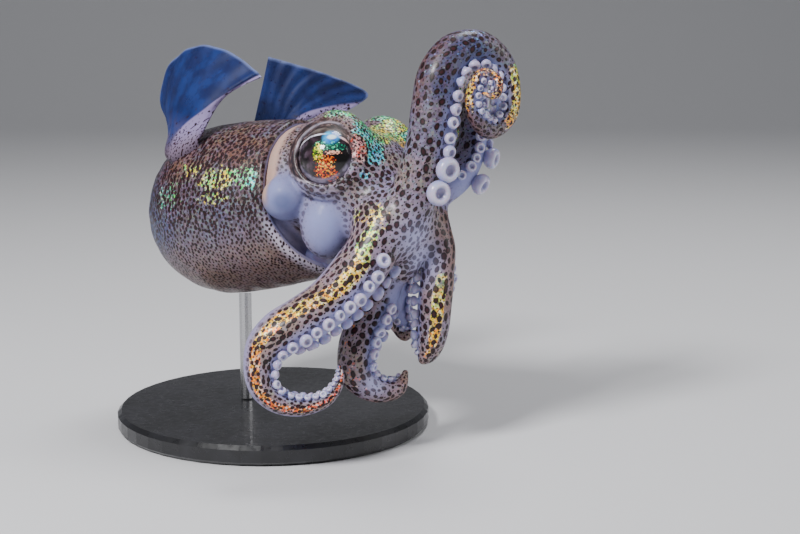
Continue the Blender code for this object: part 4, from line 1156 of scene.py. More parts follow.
def skin_material(name, first, second, grain):
    """Living skin: a ground of two tints with a fine grain, washes, mirror cells and pigment spots, with
    painted shade on the lobes and painted highlight lines on the lids.
    """
    look = colours()
    material, wires, surface = new_material(name, Coat_Roughness=0.2, Specular_IOR_Level=0.3,
                                            Subsurface_Weight=0.06, Subsurface_Scale=0.0008)
    # slate: the blue ground of the raised arm and the mantle's rear; on the lobes it is painted shade
    slate = wires.attribute("slate")
    bare = wires.attribute("bare")
    plum = wires.attribute("plum")
    ground = wires.mix(wires.span(wires.noise(130.0, 3.0), 0.36, 0.64), first, second)
    ground = wires.mix(slate, ground, look.slate)
    grained = wires.less(grain, wires.most(bare, wires.times(slate, 0.25)), clamp=True)
    ground = place_group(wires, glint_group(), Ground=ground, Amount=grained)["Colour"]
    wash = wires.times(wires.attribute("umber"), wires.span(wires.noise(520.0, 4.0), 0.3, 0.62, 0.25, 1.0))
    ground = wires.mix(wash, ground, look.umber)
    ground = wires.mix(wires.attribute("blush"), ground, look.blush)
    cells = place_group(wires, fleck_group(), Ground=ground, Amount=wires.attribute("mirror"),
                        Hue=wires.attribute("hue"), Scale=3000.0)
    veil = wires.times(wires.attribute("milk"), wires.span(wires.noise(260.0, 2.0), 0.2, 0.7, 0.85, 1.0))
    # On the lobes, slate darkens the milk towards the slate blue as painted shade
    ground = wires.mix(veil, cells["Colour"], wires.mix(wires.times(slate, 0.6), look.milk, look.slate))
    fold = wires.noise(1.0, 5.0, wires.attribute("lid_at", vector=True), 0.62)
    lids = wires.ramp(wires.span(fold, 0.3, 0.72), (LID_TINTS[0], (PLUM_AT, look.plum), *LID_TINTS[1:]))
    ground = wires.mix(plum, ground, lids)
    # pale: painted highlight lines along the lids, a painted sheen on the web between the arms, and the pale
    # lower rim of the mantle
    edge = wires.times(wires.attribute("pale"), wires.span(fold, 0.3, 0.5, 0.25, 1.0))
    ground = wires.mix(edge, ground, look.pale)
    spots = place_group(wires, spot_group(), Ground=ground, Maroon=look.maroon, Ink=look.ink, Fade=bare)
    wires.give(surface["Base Color"], spots["Colour"])
    bright = wires.times(wires.times(cells["Mask"], wires.less(1.0, spots["Mask"])), wires.less(1.0, veil))
    wires.give(surface["Metallic"], wires.times(bright, 0.25))
    rough = wires.plus(wires.span(bright, 0.0, 1.0, 0.5, 0.44), wires.times(veil, 0.2))
    wires.give(surface["Roughness"], rough)
    wires.give(surface["Coat Weight"], wires.span(wires.most(bright, veil), 0.0, 1.0, 0.2, 0.05))
    height = place_group(wires, fold_group(), Scale=FOLD_SCALE)["Height"]
    height = wires.plus(height, wires.times(spots["Mask"], 0.05))
    wires.raised(surface["Normal"], wires.plus(height, wires.times(fold, plum)), 0.5, 0.1 * MM)
    return material


def finish_piece(thing, material, slot, *nodes):
    """The piece gets its material, rides on the one body and stands for its nodes."""
    thing.data.materials.clear()
    thing.data.materials.append(material)
    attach(thing, "root")
    if nodes:
        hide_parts(*nodes)
    return thing


def mantle_points(share, turn, inner=0.0):
    """Points of the mantle's wall: share runs from the tail (0) to the rim (1), turn from the back."""
    share, turn = np.broadcast_arrays(np.asarray(share, float), np.asarray(turn, float))
    rim = (RIM_SIDE_AT + RIM_BACK_LIFT * np.maximum(0.0, np.cos(turn)) ** 2
           + RIM_BELLY_REACH * np.maximum(0.0, -np.cos(turn)) ** 2)
    angle = 0.5 * math.pi * np.minimum(share, TAIL_SHARE) / TAIL_SHARE
    part = np.maximum(share - TAIL_SHARE, 0.0) / (1.0 - TAIL_SHARE)
    forward = (MANTLE_WIDEST_AT - (MANTLE_LENGTH + MANTLE_WIDEST_AT) * np.cos(angle)
               + (rim - MANTLE_WIDEST_AT) * part)
    width = MANTLE_HALF_WIDTH * np.sin(angle) - (MANTLE_HALF_WIDTH - OPENING_HALF_WIDTH) * part ** 2
    height = MANTLE_HALF_HEIGHT * np.sin(angle) - (MANTLE_HALF_HEIGHT - OPENING_HALF_HEIGHT) * part ** 2
    arch = MANTLE_ARCH * np.sin(angle) * (1.0 - part)
    return np.stack([forward, (width - inner) * np.sin(turn),
                     (height - inner) * np.cos(turn) + arch], axis=-1)


def mantle_rings():
    """Rings of the mantle from its tail to its rim, round the rim and down the bowl behind the neck."""
    turns = np.arange(MANTLE_SIDES) * 2.0 * math.pi / MANTLE_SIDES
    forward = np.array([1.0, 0.0, 0.0])
    rear, cone, rim, bowl = MANTLE_ROWS
    shares = np.concatenate([np.linspace(0.008, TAIL_SHARE, rear, endpoint=False),
                             np.linspace(TAIL_SHARE, 0.997, cone)])
    rings = [mantle_points(share, turns) for share in shares]
    lip = 0.5 * MANTLE_WALL
    for bend in np.linspace(0.25, math.pi, rim):
        rings.append(mantle_points(1.0, turns, lip * (1.0 - math.cos(bend)))
                     + 0.6 * lip * math.sin(bend) * forward)
    for depth in np.linspace(0.08, 1.0, bowl):
        rings.append(mantle_points(1.0, turns, MANTLE_WALL + BOWL_NARROWS * depth ** 3)
                     - BOWL_DEPTH * depth * forward)
    return rings


class SQUID_OT_mantle(bpy.types.Operator):
    """The bag of the mantle with its rounded rim and the hollow behind the neck"""
    bl_idname = "squid.mantle"
    bl_label = "Mantle"

    def execute(self, context):
        points, faces = pointed_loft(mantle_rings(), (-MANTLE_LENGTH, 0.0, 0.0),
                                     (RIM_SIDE_AT - BOWL_DEPTH, 0.0, 0.0))
        thing = mesh_object("mantle_skin", points, faces)
        mesh = thing.data
        points = from_world(mesh_points(mesh))
        normals = mesh_normals(mesh) @ np.array(PLACE.to_3x3())
        ripple = (np.sin(points[:, 0] * 1.1 + np.sin(points[:, 2] * 0.6) * 1.4)
                  * np.sin(points[:, 2] * 0.8 + points[:, 1] * 0.5))
        points = points + normals * (MANTLE_RIPPLE * ripple)[:, None]
        set_points(mesh, to_world(points))
        parts = [("mantle_right_skin", ["mantle"]), ("mantle_left_skin", ["mantle"])]
        material = skin_material("mantle skin", "453d5a", "55433e", 0.44)
        split_skin(mesh, self.looks(points, normals), (points[:, 1] > 0.0).astype(int), parts, material)
        bpy.data.objects.remove(thing, do_unlink=True)
        return {"FINISHED"}

    def looks(self, points, normals):
        """Masks of the mantle's tints, and its spots."""
        rear_rows, cone_rows, rim_rows, _ = MANTLE_ROWS
        outside = (rear_rows + cone_rows + rim_rows // 2) * MANTLE_SIDES
        inside = (np.arange(len(points)) >= outside) & (points[:, 0] > -MANTLE_LENGTH + 1.0)
        fade = 1.0 - inside
        belly = ease(-points[:, 2], *BELLY)
        rear = ease(-points[:, 0], *REAR)
        crest = ease(points[:, 2], *CREST)
        low = ease(-points[:, 2], *LOWER_SIDE)
        strength, hue = shine(points, MANTLE_SHINE)
        umber = 0.6 * patched(points, MANTLE_UMBER) + 0.25 * crest + 0.2 * belly
        values = dict(mirror=strength * fade, hue=hue, blush=0.3 * belly,
                      umber=np.clip(umber, 0.0, 1.0) * fade,
                      milk=np.where(inside, 0.5, 0.1 * low * (1.0 - belly)),
                      slate=np.clip(1.0 * rear + 0.25 * low * (1.0 - belly), 0.0, 1.0),
                      plum=np.zeros(len(points)), pale=0.6 * self.lip_mask(points) * fade, bare=inside)
        room = MANTLE_ROOM - 0.14 * low - 0.1 * belly
        radius = sizes().spot / MM * (1.0 - 0.2 * low - 0.22 * belly)
        speck = np.full(len(points), 0.7 * sizes().speck / MM)
        specks = (np.where(low > 0.4, 0.0, 0.75 * room), speck)
        lie = np.cross(normals, np.array([1.0, 0.0, 0.0]))
        values.update(spot_values(points, normals, specks, (room, radius), lie, sizes().seed))
        return values

    def lip_mask(self, points):
        """One along the lower rim of the opening, where the skin thins to a pale edge."""
        turn = np.arctan2(points[:, 1], points[:, 2])
        rim = mantle_points(1.0, turn)[:, 0]
        return ease(points[:, 0], rim - 2.0, rim) * ease(-points[:, 2], 2.0, 9.0)


def socket_masks(points):
    """Round either eye: dark folded skin, painted highlight lines along the lids' edges, rosy patch and the
    run of the folds.
    """
    dark, edge, rose = (np.zeros(len(points)) for _ in range(3))
    run = np.zeros((len(points), 3))
    for side in (-1, 1):
        centre, way = eye_place(side)
        ahead, up = eye_axes(side, way)
        off = points - centre
        height = off @ way
        first = off @ ahead
        second = off @ up
        reach = np.hypot((first - SOCKET_AT[0]) / SOCKET_SIZE[0], (second - SOCKET_AT[1]) / SOCKET_SIZE[1])
        over = ease(height, -2.5, -1.0)
        dark = np.maximum(dark, (1.0 - ease(reach, 0.92, 1.08)) * over)
        ring = np.hypot(first, second)
        angle = np.arctan2(second, first)
        arc = ease(angle, 0.5, 1.0) * (1.0 - ease(angle, 2.7, 3.05))
        # edge: painted highlight lines, along the ring round the dome and along the rear edge of the dark
        # skin
        edge = np.maximum(edge, 0.35 * np.exp(-((ring - LID_LINE[0]) / LID_LINE[1]) ** 2) * arc * over)
        rear = ease(-first, 1.0, 5.0)
        line = np.exp(-((reach - SOCKET_LINE[0]) / SOCKET_LINE[1]) ** 2)
        edge = np.maximum(edge, 0.5 * line * rear * over)
        spread = np.hypot((first - ROSE_AT[0]) / ROSE_SIZE[0], (second - ROSE_AT[1]) / ROSE_SIZE[1])
        rose = np.maximum(rose, (1.0 - ease(spread, 0.6, 1.15)) * over)
        near = (over > 0.0)[:, None]
        run = np.where(near, np.stack([3.0 * np.cos(angle), 3.0 * np.sin(angle), 2.4 * ring], axis=1), run)
    return dark, edge, rose, run


def band_mask(arm, knots, half_width, share, turn):
    """Strength and hue of a band of mirror cells along an arm, from its knots."""
    table = np.array(knots)
    middle, hue, most = (np.interp(share, table[:, 0], table[:, column]) for column in (1, 2, 3))
    inside = (share >= table[0, 0]) & (share <= table[-1, 0] + 0.02)
    away = np.abs((turn - middle + math.pi) % (2.0 * math.pi) - math.pi)
    return most * inside * (1.0 - ease(away, 0.55 * half_width, 1.25 * half_width)), hue


def skin_masks(skin, points, owner, share, turn):
    """Washes, mirror cells and bare places of the head and arms."""
    on_arm = owner >= 0
    inner = np.where(on_arm, np.cos(turn), -1.0)
    free = ease(share, *ARM_OWN) * on_arm
    strength, hue = shine(points, HEAD_SHINE)
    strength *= 1.0 - free
    umber = 0.35 * ease(points[:, 2], *HEAD_TOP) * ~on_arm
    far_strength, far_hue = shine(points, FAR_SHINE, (1.0,))
    hue = np.where(far_strength > strength, far_hue, hue)
    strength = np.maximum(strength, far_strength)

    # Milky and bare places: the lobes, the web between the arms and the arms' inner sides
    web = patched(points, WEB_MILK, (1.0,))
    milk = np.maximum(patched(points, HEAD_MILK), web)
    # The web also takes a painted sheen in the pale mask
    pale = 0.3 * web
    bare = np.maximum(patched(points, HEAD_BARE), 0.5 * web)
    milk = np.maximum(milk, 0.85 * ease(inner, *INNER_MILK) * free)
    bare = np.maximum(bare, ease(inner, *INNER_BARE) * free)

    # The bare band behind the head
    band = 1.0 - ease(points[:, 0], *BAND)
    high = ease(points[:, 2], *BAND_LOW)
    blush = np.maximum(band * high, 0.2 * ease(-points[:, 2], *CHIN))
    milk = np.maximum(milk * (1.0 - band * high), 0.5 * band * (1.0 - high))
    bare = np.maximum(bare, band)
    strength *= 1.0 - band

    # Round the eyes
    dark, edge, rose, run = socket_masks(points)
    plum = np.maximum(0.95 * dark, 0.35 * rose)
    # pale also takes the painted highlight lines of the lids
    pale = np.maximum(pale, edge)
    strength *= 1.0 - dark
    hue = np.where(rose > strength, 0.0, hue)
    strength = np.maximum(strength, 0.85 * rose)
    bare = np.maximum(bare, 0.62 * dark)
    # On the head, slate carries the painted shade on the lobes; on the arms, the blue of the raised arm
    slate = np.where(on_arm, patched(points, BLUE_PLACES, (1.0,)), patched(points, LOBE_PAINTED_SHADE))

    # Bands, brown washes and keel of each arm
    for index, arm in enumerate(skin.arms):
        chosen = owner == index
        here = share[chosen]
        back = ease(-np.cos(turn[chosen]), 0.2, 0.8)
        for name, half_width, knots in ARM_SHINE:
            if name == arm.name:
                now, tint = band_mask(arm, knots, half_width, here, turn[chosen])
                hue[chosen] = np.where(now > strength[chosen], tint, hue[chosen])
                strength[chosen] = np.maximum(now, strength[chosen])
        for name, most, low, high in ARM_UMBER:
            if name == arm.name:
                along = ease(here, low - 0.06, low + 0.06) * (1.0 - ease(here, high - 0.06, high + 0.06))
                umber[chosen] = np.maximum(umber[chosen], most * along * (0.4 + 0.6 * back))
        if arm.keel > 0.0:
            keel = ease(-np.cos(turn[chosen]), 0.86, 0.97) * ease(here, 0.1, 0.25)
            milk[chosen] = np.maximum(milk[chosen], 0.45 * keel)
            bare[chosen] = np.maximum(bare[chosen], 0.7 * keel)
    masks = dict(mirror=strength, hue=hue, umber=umber, milk=milk, blush=blush, plum=plum, pale=pale,
                 slate=slate, bare=bare)
    masks = {name: np.clip(mask, 0.0, 1.0) for name, mask in masks.items()}
    masks["lid_at"] = run
    return masks


def spot_rooms(skin, points, owner, share, masks):
    """Room and radius of specks and of spots over the head and arms, in millimetres."""
    head = sizes().head_spot / MM
    speck = sizes().speck / MM
    on_arm = ease(share, 0.03, 0.16) * (owner >= 0)
    size = np.full(len(owner), head)
    room = np.full(len(owner), HEAD_ROOM)
    for index, arm in enumerate(skin.arms):
        chosen = owner == index
        slim = np.clip(np.interp(share[chosen], arm.shares, arm.radius) / arm.radius[0], 0.2, 1.0)
        grown = sizes().arm_spot / MM * (0.3 + 0.7 * slim)
        size[chosen] = head + (grown - head) * on_arm[chosen]
        room[chosen] += ARM_OPEN.get(arm.name, 0.2) * on_arm[chosen]
    fine = np.clip(ease(points[:, 2], 1.0, 9.0) + 0.6 * masks["mirror"], 0.0, 1.0)
    fine = fine * (1.0 - on_arm) * (owner < 0)
    size *= 1.0 - 0.44 * fine
    room = size * (room + 0.1 * fine)
    tiny = speck * (0.55 + 0.45 * np.clip(size / head, 0.3, 1.0))
    bare = masks["bare"]
    return ((np.where(bare > 0.95, 0.0, tiny * (4.4 + 4.0 * bare)), tiny),
            (np.where(bare > 0.55, 0.0, room), size))


def spot_lie(skin, points, normals, owner, share):
    """The way the spots are drawn out: along the arms, and back and down over the head."""
    lie = np.tile((0.8, 0.0, -0.6), (len(points), 1))
    for index, arm in enumerate(skin.arms):
        chosen = owner == index
        lie[chosen] = arm.at(share[chosen])[2]
    lie -= normals * np.sum(lie * normals, axis=1, keepdims=True)
    return unit(lie)


class SQUID_OT_skin(bpy.types.Operator):
    """Head, crown and the eight arms in one skin, parted into pieces whose seams don't show"""
    bl_idname = "squid.skin"
    bl_label = "Head and arms"

    def execute(self, context):
        arms = [Arm(**row) for row in ARMS]
        skin = Skin(arms)
        blanks = [ball("mass", centre, np.asarray(half) + BLANK_MARGIN) for (centre, half), _ in skin.masses]
        for side in (-1, 1):
            centre, axis = eye_place(side)
            blanks += [hoop("lid", centre + height * axis, axis, radius, thick)
                       for height, radius, thick in LID_FOLDS]
        blanks.append(ball("mass", *COLLAR))
        blanks += [arm_tube(arm) for arm in arms]
        blank = joined(blanks, "blank")

        # One even mesh, smoothed and drawn onto the true skin
        remesh = blank.modifiers.new("melt", "REMESH")
        remesh.mode = "VOXEL"
        remesh.voxel_size = sizes().skin_step
        mesh = evaluated_mesh(blank)
        bpy.data.objects.remove(blank, do_unlink=True)
        points = from_world(mesh_points(mesh))
        edges = np.empty(len(mesh.edges) * 2, int)
        mesh.edges.foreach_get("vertices", edges)
        edges = edges.reshape(-1, 2)
        for _ in range(SKIN_ROUNDS):
            points = points + 0.5 * (neighbour_mean(points, edges) - points)
            points = skin.settle(points)
        points = skin.settle(points, 2)
        set_points(mesh, to_world(points))
        normals = mesh_normals(mesh) @ np.array(PLACE.to_3x3())
        _, _, owner, share, turn = skin.measure(points)
        masks = skin_masks(skin, points, owner, share, turn)
        masks.update(spot_values(points, normals, *spot_rooms(skin, points, owner, share, masks),
                                 spot_lie(skin, points, normals, owner, share), sizes().seed + 1))

        # Pieces: the head's two sides with the arms' roots, then the arms in groups
        label = (points[:, 1] > 0.0).astype(int)
        for index, arm in enumerate(arms):
            label[(owner == index) & (share > ARM_CUT)] = ARM_GROUPS[arm.name]
        parts = [("head_right_skin", ["head", "crown"]), ("head_left_skin", ["head", "crown"])]
        for number, name in enumerate(("raised_right_arm", "lowered_right_arm", "left_arm"), 2):
            nodes = [node for node in sorted(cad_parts) if ARM_GROUPS.get(node[4:-2]) == number]
            parts.append((name + "_skin", nodes))
        material = skin_material("head and arm skin", colours().lilac, colours().cream, 0.5)
        split_skin(mesh, masks, label, parts, material)
        return {"FINISHED"}


def fin_line(share, turn, *onward):
    """A control line of a fin: from just inside the mantle's wall, then through the places given."""
    point = mantle_points(share, math.radians(turn))
    away = unit(point - np.array([MANTLE_WIDEST_AT, 0.0, 0.0]))
    return [point - away * FIN_INSIDE, point + away * FIN_OFF, *onward]


def fin_sheet(lines, round_end, around, rows):
    """The middle sheet of a fin through its lines; round_end is 1 where its last end is the rounded one."""
    outward = np.array([smooth_line(line, np.linspace(0.0, 1.0, rows))[0] for line in lines])
    knots = np.linspace(0.0, 1.0, len(lines))
    wanted = np.linspace(0.0, 1.0, around)
    sheet = np.empty((around, rows, 3))
    for row in range(rows):
        sheet[:, row] = even_blend(knots, outward[:, row], wanted)
    from_end = 1.0 - wanted if round_end > 0 else wanted
    reach = 1.0 - FIN_ROUND[0] * (1.0 - np.clip(from_end / FIN_ROUND[1], 0.0, 1.0)) ** 2
    for column in range(around):
        share = np.linspace(0.0, reach[column], rows) * (rows - 1)
        sheet[column] = np.stack([np.interp(share, np.arange(rows), sheet[column, :, axis])
                                  for axis in range(3)], axis=1)
    return sheet


def sheet_faces(around, rows):
    """Faces of both sides of a sheet with a thickness, and of the edge that joins them."""
    count = around * rows
    faces = []
    for column in range(around - 1):
        for row in range(rows - 1):
            low = column * rows + row
            corners = (low, low + 1, low + rows + 1, low + rows)
            faces.append(corners)
            faces.append(tuple(count + corner for corner in corners[::-1]))
    loop = [(column, 0) for column in range(around)]
    loop += [(around - 1, row) for row in range(1, rows)]
    loop += [(column, rows - 1) for column in range(around - 2, -1, -1)]
    loop += [(0, row) for row in range(rows - 2, 0, -1)]
    ids = [column * rows + row for column, row in loop]
    faces += [(here, there, there + count, here + count) for here, there in zip(ids, ids[1:] + ids[:1])]
    return faces


class SQUID_OT_fins(bpy.types.Operator):
    """The two ear-shaped fins, thin and rippled"""
    bl_idname = "squid.fins"
    bl_label = "Fins"

    def execute(self, context):
        material = fin_material()
        for name, table, round_end in (("fin_right", FIN_RIGHT, 1), ("fin_left", FIN_LEFT, -1)):
            lines = [fin_line(*row) for row in table]
            finish_piece(self.blade(name + "_skin", lines, round_end), material, "fin", name)
        return {"FINISHED"}

    def blade(self, name, lines, round_end, around=130, rows=100):
        """One fin: its sheet rippled and given a thickness that falls off outward."""
        sheet = fin_sheet(lines, round_end, around, rows)
        normal = unit(np.cross(np.gradient(sheet, axis=0), np.gradient(sheet, axis=1)))
        edge = np.linspace(0.0, 1.0, rows)[None, :]
        side = np.linspace(0.0, 1.0, around)[:, None]
        ripple = FIN_RIPPLE * np.sin(side * FIN_RIPPLES + 2.0 * np.sin(edge * 5.0)) * edge ** 1.5
        sheet = sheet + normal * ripple[:, :, None]
        thin = sizes().fin_edge / MM
        thick = thin + (FIN_ROOT_THICK - thin) * (1.0 - edge) ** 1.6
        thick = thick + FIN_FRONT_THICK * (1.0 - ease(side, 0.05, 0.3 - 0.2 * edge)) * (1.0 - 0.6 * edge)
        rim = np.minimum(np.minimum(side, 1.0 - side) * around / 4.0, (1.0 - edge) * rows / 4.0)
        thick = 0.5 * thick * np.sqrt(np.clip(rim, 0.15, 1.0))
        front = (sheet + normal * thick[:, :, None]).reshape(-1, 3)
        back = (sheet - normal * thick[:, :, None]).reshape(-1, 3)
        thing = mesh_object(name, np.vstack([front, back]), sheet_faces(around, rows))
        out = np.tile(np.repeat(edge, around, axis=0).ravel(), 2)
        span = np.tile(np.repeat(side, rows, axis=1).ravel(), 2)
        lie = np.tile(unit(np.gradient(sheet, axis=1)).reshape(-1, 3), (2, 1))
        self.looks(thing.data, out, span, lie)
        return thing

    def looks(self, mesh, out, span, lie):
        """Masks of a fin's tints, and its spots, from the shares outward and along it at its points."""
        points = from_world(mesh_points(mesh))
        normals = mesh_normals(mesh) @ np.array(PLACE.to_3x3())
        strip = ease(FIN_STRIP[0] + FIN_STRIP[1] * (1.0 - out) ** 1.8 - span, 0.0, 0.03)
        room = FIN_ROOM - 1.62 * np.maximum(strip, 1.0 - ease(out, 0.1, 0.35))
        radius = np.full(len(out), FIN_SPOT * (sizes().spot / MM))
        values = dict(out=out, span=span, strip=strip)
        values.update(spot_values(points, normals, (0.8 * room, 0.6 * radius), (room, radius), lie,
                                  sizes().seed + 2))
        for name, value in values.items():
            store(mesh, name, value)


def fin_material():
    """Thin clear fin with fine rays, its blue blade darkened outward as painted shade and its free edge
    lightened as a painted highlight; its front strip is milky lilac and finely spotted.
    """
    look = colours()
    material, wires, surface = new_material("fin membrane", Roughness=0.5, Specular_IOR_Level=0.2)
    out = wires.attribute("out")
    strip = wires.attribute("strip")
    # Outward the blade turns dark navy: the fin's own blue tint, darkened as painted shade
    blade = wires.mix(wires.span(out, 0.02, 0.45), look.lilac, "101e50")
    blade = wires.mix(wires.span(wires.noise(240.0, 3.0), 0.35, 0.7), blade, "1b3270")
    ground = wires.mix(strip, blade, "8a7ca6")
    # Painted highlight: the blade paler along its free edge
    ground = wires.mix(wires.span(out, 0.97, 1.0, 0.0, 0.5), ground, "8f9fd6")
    ground = wires.mix(wires.span(out, 0.05, 0.3, 0.75, 0.0), ground, "5f4e52")
    open_part = wires.times(wires.span(out, 0.2, 0.6), wires.less(1.0, strip))
    spots = place_group(wires, spot_group(), Ground=ground, Maroon=look.maroon, Ink=look.ink,
                        Fade=wires.times(open_part, 0.55))
    wires.give(surface["Base Color"], spots["Colour"])
    alpha = wires.span(open_part, 0.0, 1.0, 1.0, 0.8)
    wires.give(surface["Alpha"], wires.plus(alpha, wires.times(spots["Mask"], 0.4), clamp=True))
    rays = wires.math("SINE", wires.times(wires.attribute("span"), 420.0))
    height = wires.plus(wires.times(rays, 0.25), wires.noise(700.0, 3.0))
    wires.raised(surface["Normal"], height, 0.35, 0.1 * MM)
    return material


def blot(wires, across, up, centre, half_sizes):
    """A mask over the eye's face: one at a centre, nought past the half sizes."""
    first = wires.over(wires.less(across, centre[0]), half_sizes[0])
    second = wires.over(wires.less(up, centre[1]), half_sizes[1])
    return wires.span(wires.plus(wires.times(first, first), wires.times(second, second)), 0.15, 1.0, 1.0, 0.0)


def eye_material():
    """The eye under its clear dome: a dark pupil, teal and green above it, gold and ember grains below, and a
    painted glare under the lid.
    """
    look = colours()
    material, wires, surface = new_material("eye glass", Roughness=0.4, Specular_IOR_Level=0.15,
                                            Coat_Weight=1.0, Coat_Roughness=0.03, Coat_IOR=1.45)
    place = wires.attribute("eye_at", vector=True)
    parts = wires.add("ShaderNodeSeparateXYZ", {0: place}).outputs
    across, up = parts[0], parts[1]
    reach = wires.length(across, up)
    pick = wires.picks(3600.0)
    streaks = wires.noise(700.0, 4.0)
    clouds = wires.noise(330.0, 2.0)

    # The dark pupil in the brown iris
    colour = wires.mix(wires.span(streaks, 0.38, 0.68), "0e070c", "3c2a36")
    colour = wires.mix(blot(wires, across, up, (0.45, -0.36), (0.5, 0.4)), colour, "020102")

    # Patches of bright grains, thinning out at their edges
    warmer = wires.plus(wires.times(pick[0], 0.85), wires.span(up, -0.4, -0.75, 0.15, 0.0))
    tints = dict(teal=wires.ramp(pick[0], TEAL), lime=wires.ramp(pick[0], LIME),
                 ember=wires.ramp(warmer, EMBER), peach="ffb79c")
    glow = 0.0
    for tint, centre, half_sizes, low in EYE_BLOTS:
        grain = wires.plus(wires.times(pick[1], 0.6), wires.times(clouds, 0.7))
        mask = wires.span(wires.times(blot(wires, across, up, centre, half_sizes), grain), low, low + 0.1)
        colour = wires.mix(mask, colour, tints[tint])
        glow = wires.most(glow, mask)

    # A pale arc low round the iris, and paler streaks at its rear
    ring = wires.span(wires.apart(reach, 0.86), 0.02, 0.09, 1.0, 0.0)
    low_arc = wires.times(ring, wires.span(up, -0.2, -0.6))
    colour = wires.mix(wires.times(low_arc, wires.span(streaks, 0.3, 0.6, 0.25, 0.85)), colour, "9c93ad")
    rear = wires.times(wires.span(across, -0.35, -0.8), wires.span(streaks, 0.45, 0.68))
    colour = wires.mix(wires.times(rear, 0.55), colour, "8a7f92")

    # The upper lid across the dome, painted on it, with a pale ragged painted highlight along its edge that
    # turns rosy ahead
    (lid_across, lid_up), (lid_half_width, lid_half_height) = LID_EDGE
    curve = wires.length(wires.over(wires.less(across, lid_across), lid_half_width),
                         wires.over(wires.less(up, lid_up), lid_half_height))
    curve = wires.plus(curve, wires.times(wires.less(clouds, 0.5), 0.08))
    upper = wires.span(up, -0.2, 0.1)
    lid = wires.ramp(wires.span(wires.noise(1.0, 4.0, place, 0.6), 0.3, 0.7), DOME_LID)
    colour = wires.mix(wires.times(wires.span(curve, 1.0, 1.06), upper), colour, lid)
    # line: the painted highlight along the lid's edge
    line = wires.times(wires.span(wires.apart(curve, 1.0), 0.012, 0.05, 1.0, 0.0), upper)
    line = wires.times(line, wires.span(streaks, 0.28, 0.52, 0.2, 1.0))
    colour = wires.mix(line, colour, wires.mix(wires.span(across, 0.4, 0.8), "eae6f6", "e2a9a2"))
    colour = wires.mix(wires.span(reach, 0.93, 0.98), colour, look.plum)

    # The blue patch under the lid: the eye's own blue brightened into a painted reflection of a lamp, with a
    # white painted highlight in its middle
    painted_glare = blot(wires, across, up, (0.31, 0.38), (0.31, 0.3))
    painted_glare = wires.times(painted_glare, wires.span(streaks, 0.3, 0.6, 0.45, 1.0))
    colour = wires.mix(painted_glare, colour, wires.mix(wires.span(clouds, 0.4, 0.6), "1668d8", "3fc0f4"))
    colour = wires.mix(blot(wires, across, up, (0.34, 0.38), (0.17, 0.11)), colour, "e4f8ff")
    wires.give(surface["Base Color"], colour)
    wires.give(surface["Metallic"], wires.times(glow, 0.1))
    return material


class SQUID_OT_eyes(bpy.types.Operator):
    """Both eyes as glossy domes set deep inside their lids"""
    bl_idname = "squid.eyes"
    bl_label = "Eyes"

    def execute(self, context):
        material = eye_material()
        for side, word in ((-1, "right"), (1, "left")):
            centre, way = eye_place(side)
            thing = ball(f"eye_{word}_dome", centre, (EYE_RADIUS,) * 3, sides=120)
            mesh = thing.data
            off = (from_world(mesh_points(mesh)) - centre) / EYE_RADIUS
            ahead, up = eye_axes(side, way)
            store(mesh, "eye_at", np.stack([off @ ahead, off @ up, off @ way], axis=1))
            finish_piece(thing, material, "eye", "eye_" + word)
        return {"FINISHED"}


def sucker_tree():
    """Geometry nodes that set one cup on every point, turned and sized by the point's attributes."""
    tree = bpy.data.node_groups.new("sucker rows", "GeometryNodeTree")
    for label, kind in (("Geometry", "Geometry"), ("Cup", "Object"), ("Fine cup", "Object"),
                        ("Fine from", "Float"), ("Swell", "Float"), ("Material", "Material")):
        tree.interface.new_socket(label, in_out="INPUT", socket_type="NodeSocket" + kind)
    tree.interface.new_socket("Geometry", in_out="OUTPUT", socket_type="NodeSocketGeometry")
    wires = Wires(tree)
    given = wires.add("NodeGroupInput").outputs
    way = wires.add("GeometryNodeInputNamedAttribute", {"Name": "way"}, data_type="FLOAT_VECTOR")
    size = wires.add("GeometryNodeInputNamedAttribute", {"Name": "size"}, data_type="FLOAT")
    turned = wires.add("FunctionNodeAlignRotationToVector", {"Vector": way.outputs[0]}, axis="Z")
    scale = wires.times(size.outputs[0], given["Swell"])
    fine = wires.math("GREATER_THAN", size.outputs[0], given["Fine from"])
    plain = wires.less(1.0, fine)
    both = wires.add("GeometryNodeJoinGeometry")
    for label, chosen in (("Cup", plain), ("Fine cup", fine)):
        cup = wires.add("GeometryNodeObjectInfo", {"Object": given[label]})
        row = wires.add("GeometryNodeInstanceOnPoints", {
            "Points": given["Geometry"], "Selection": chosen, "Instance": cup.outputs["Geometry"],
            "Rotation": turned.outputs[0], "Scale": scale})
        tree.links.new(row.outputs[0], both.inputs[0])
    real = wires.add("GeometryNodeRealizeInstances", {"Geometry": both.outputs[0]})
    dressed = wires.add("GeometryNodeSetMaterial", {"Geometry": real.outputs[0],
                                                    "Material": given["Material"]})
    end = wires.add("NodeGroupOutput")
    tree.links.new(dressed.outputs[0], end.inputs[0])
    return tree


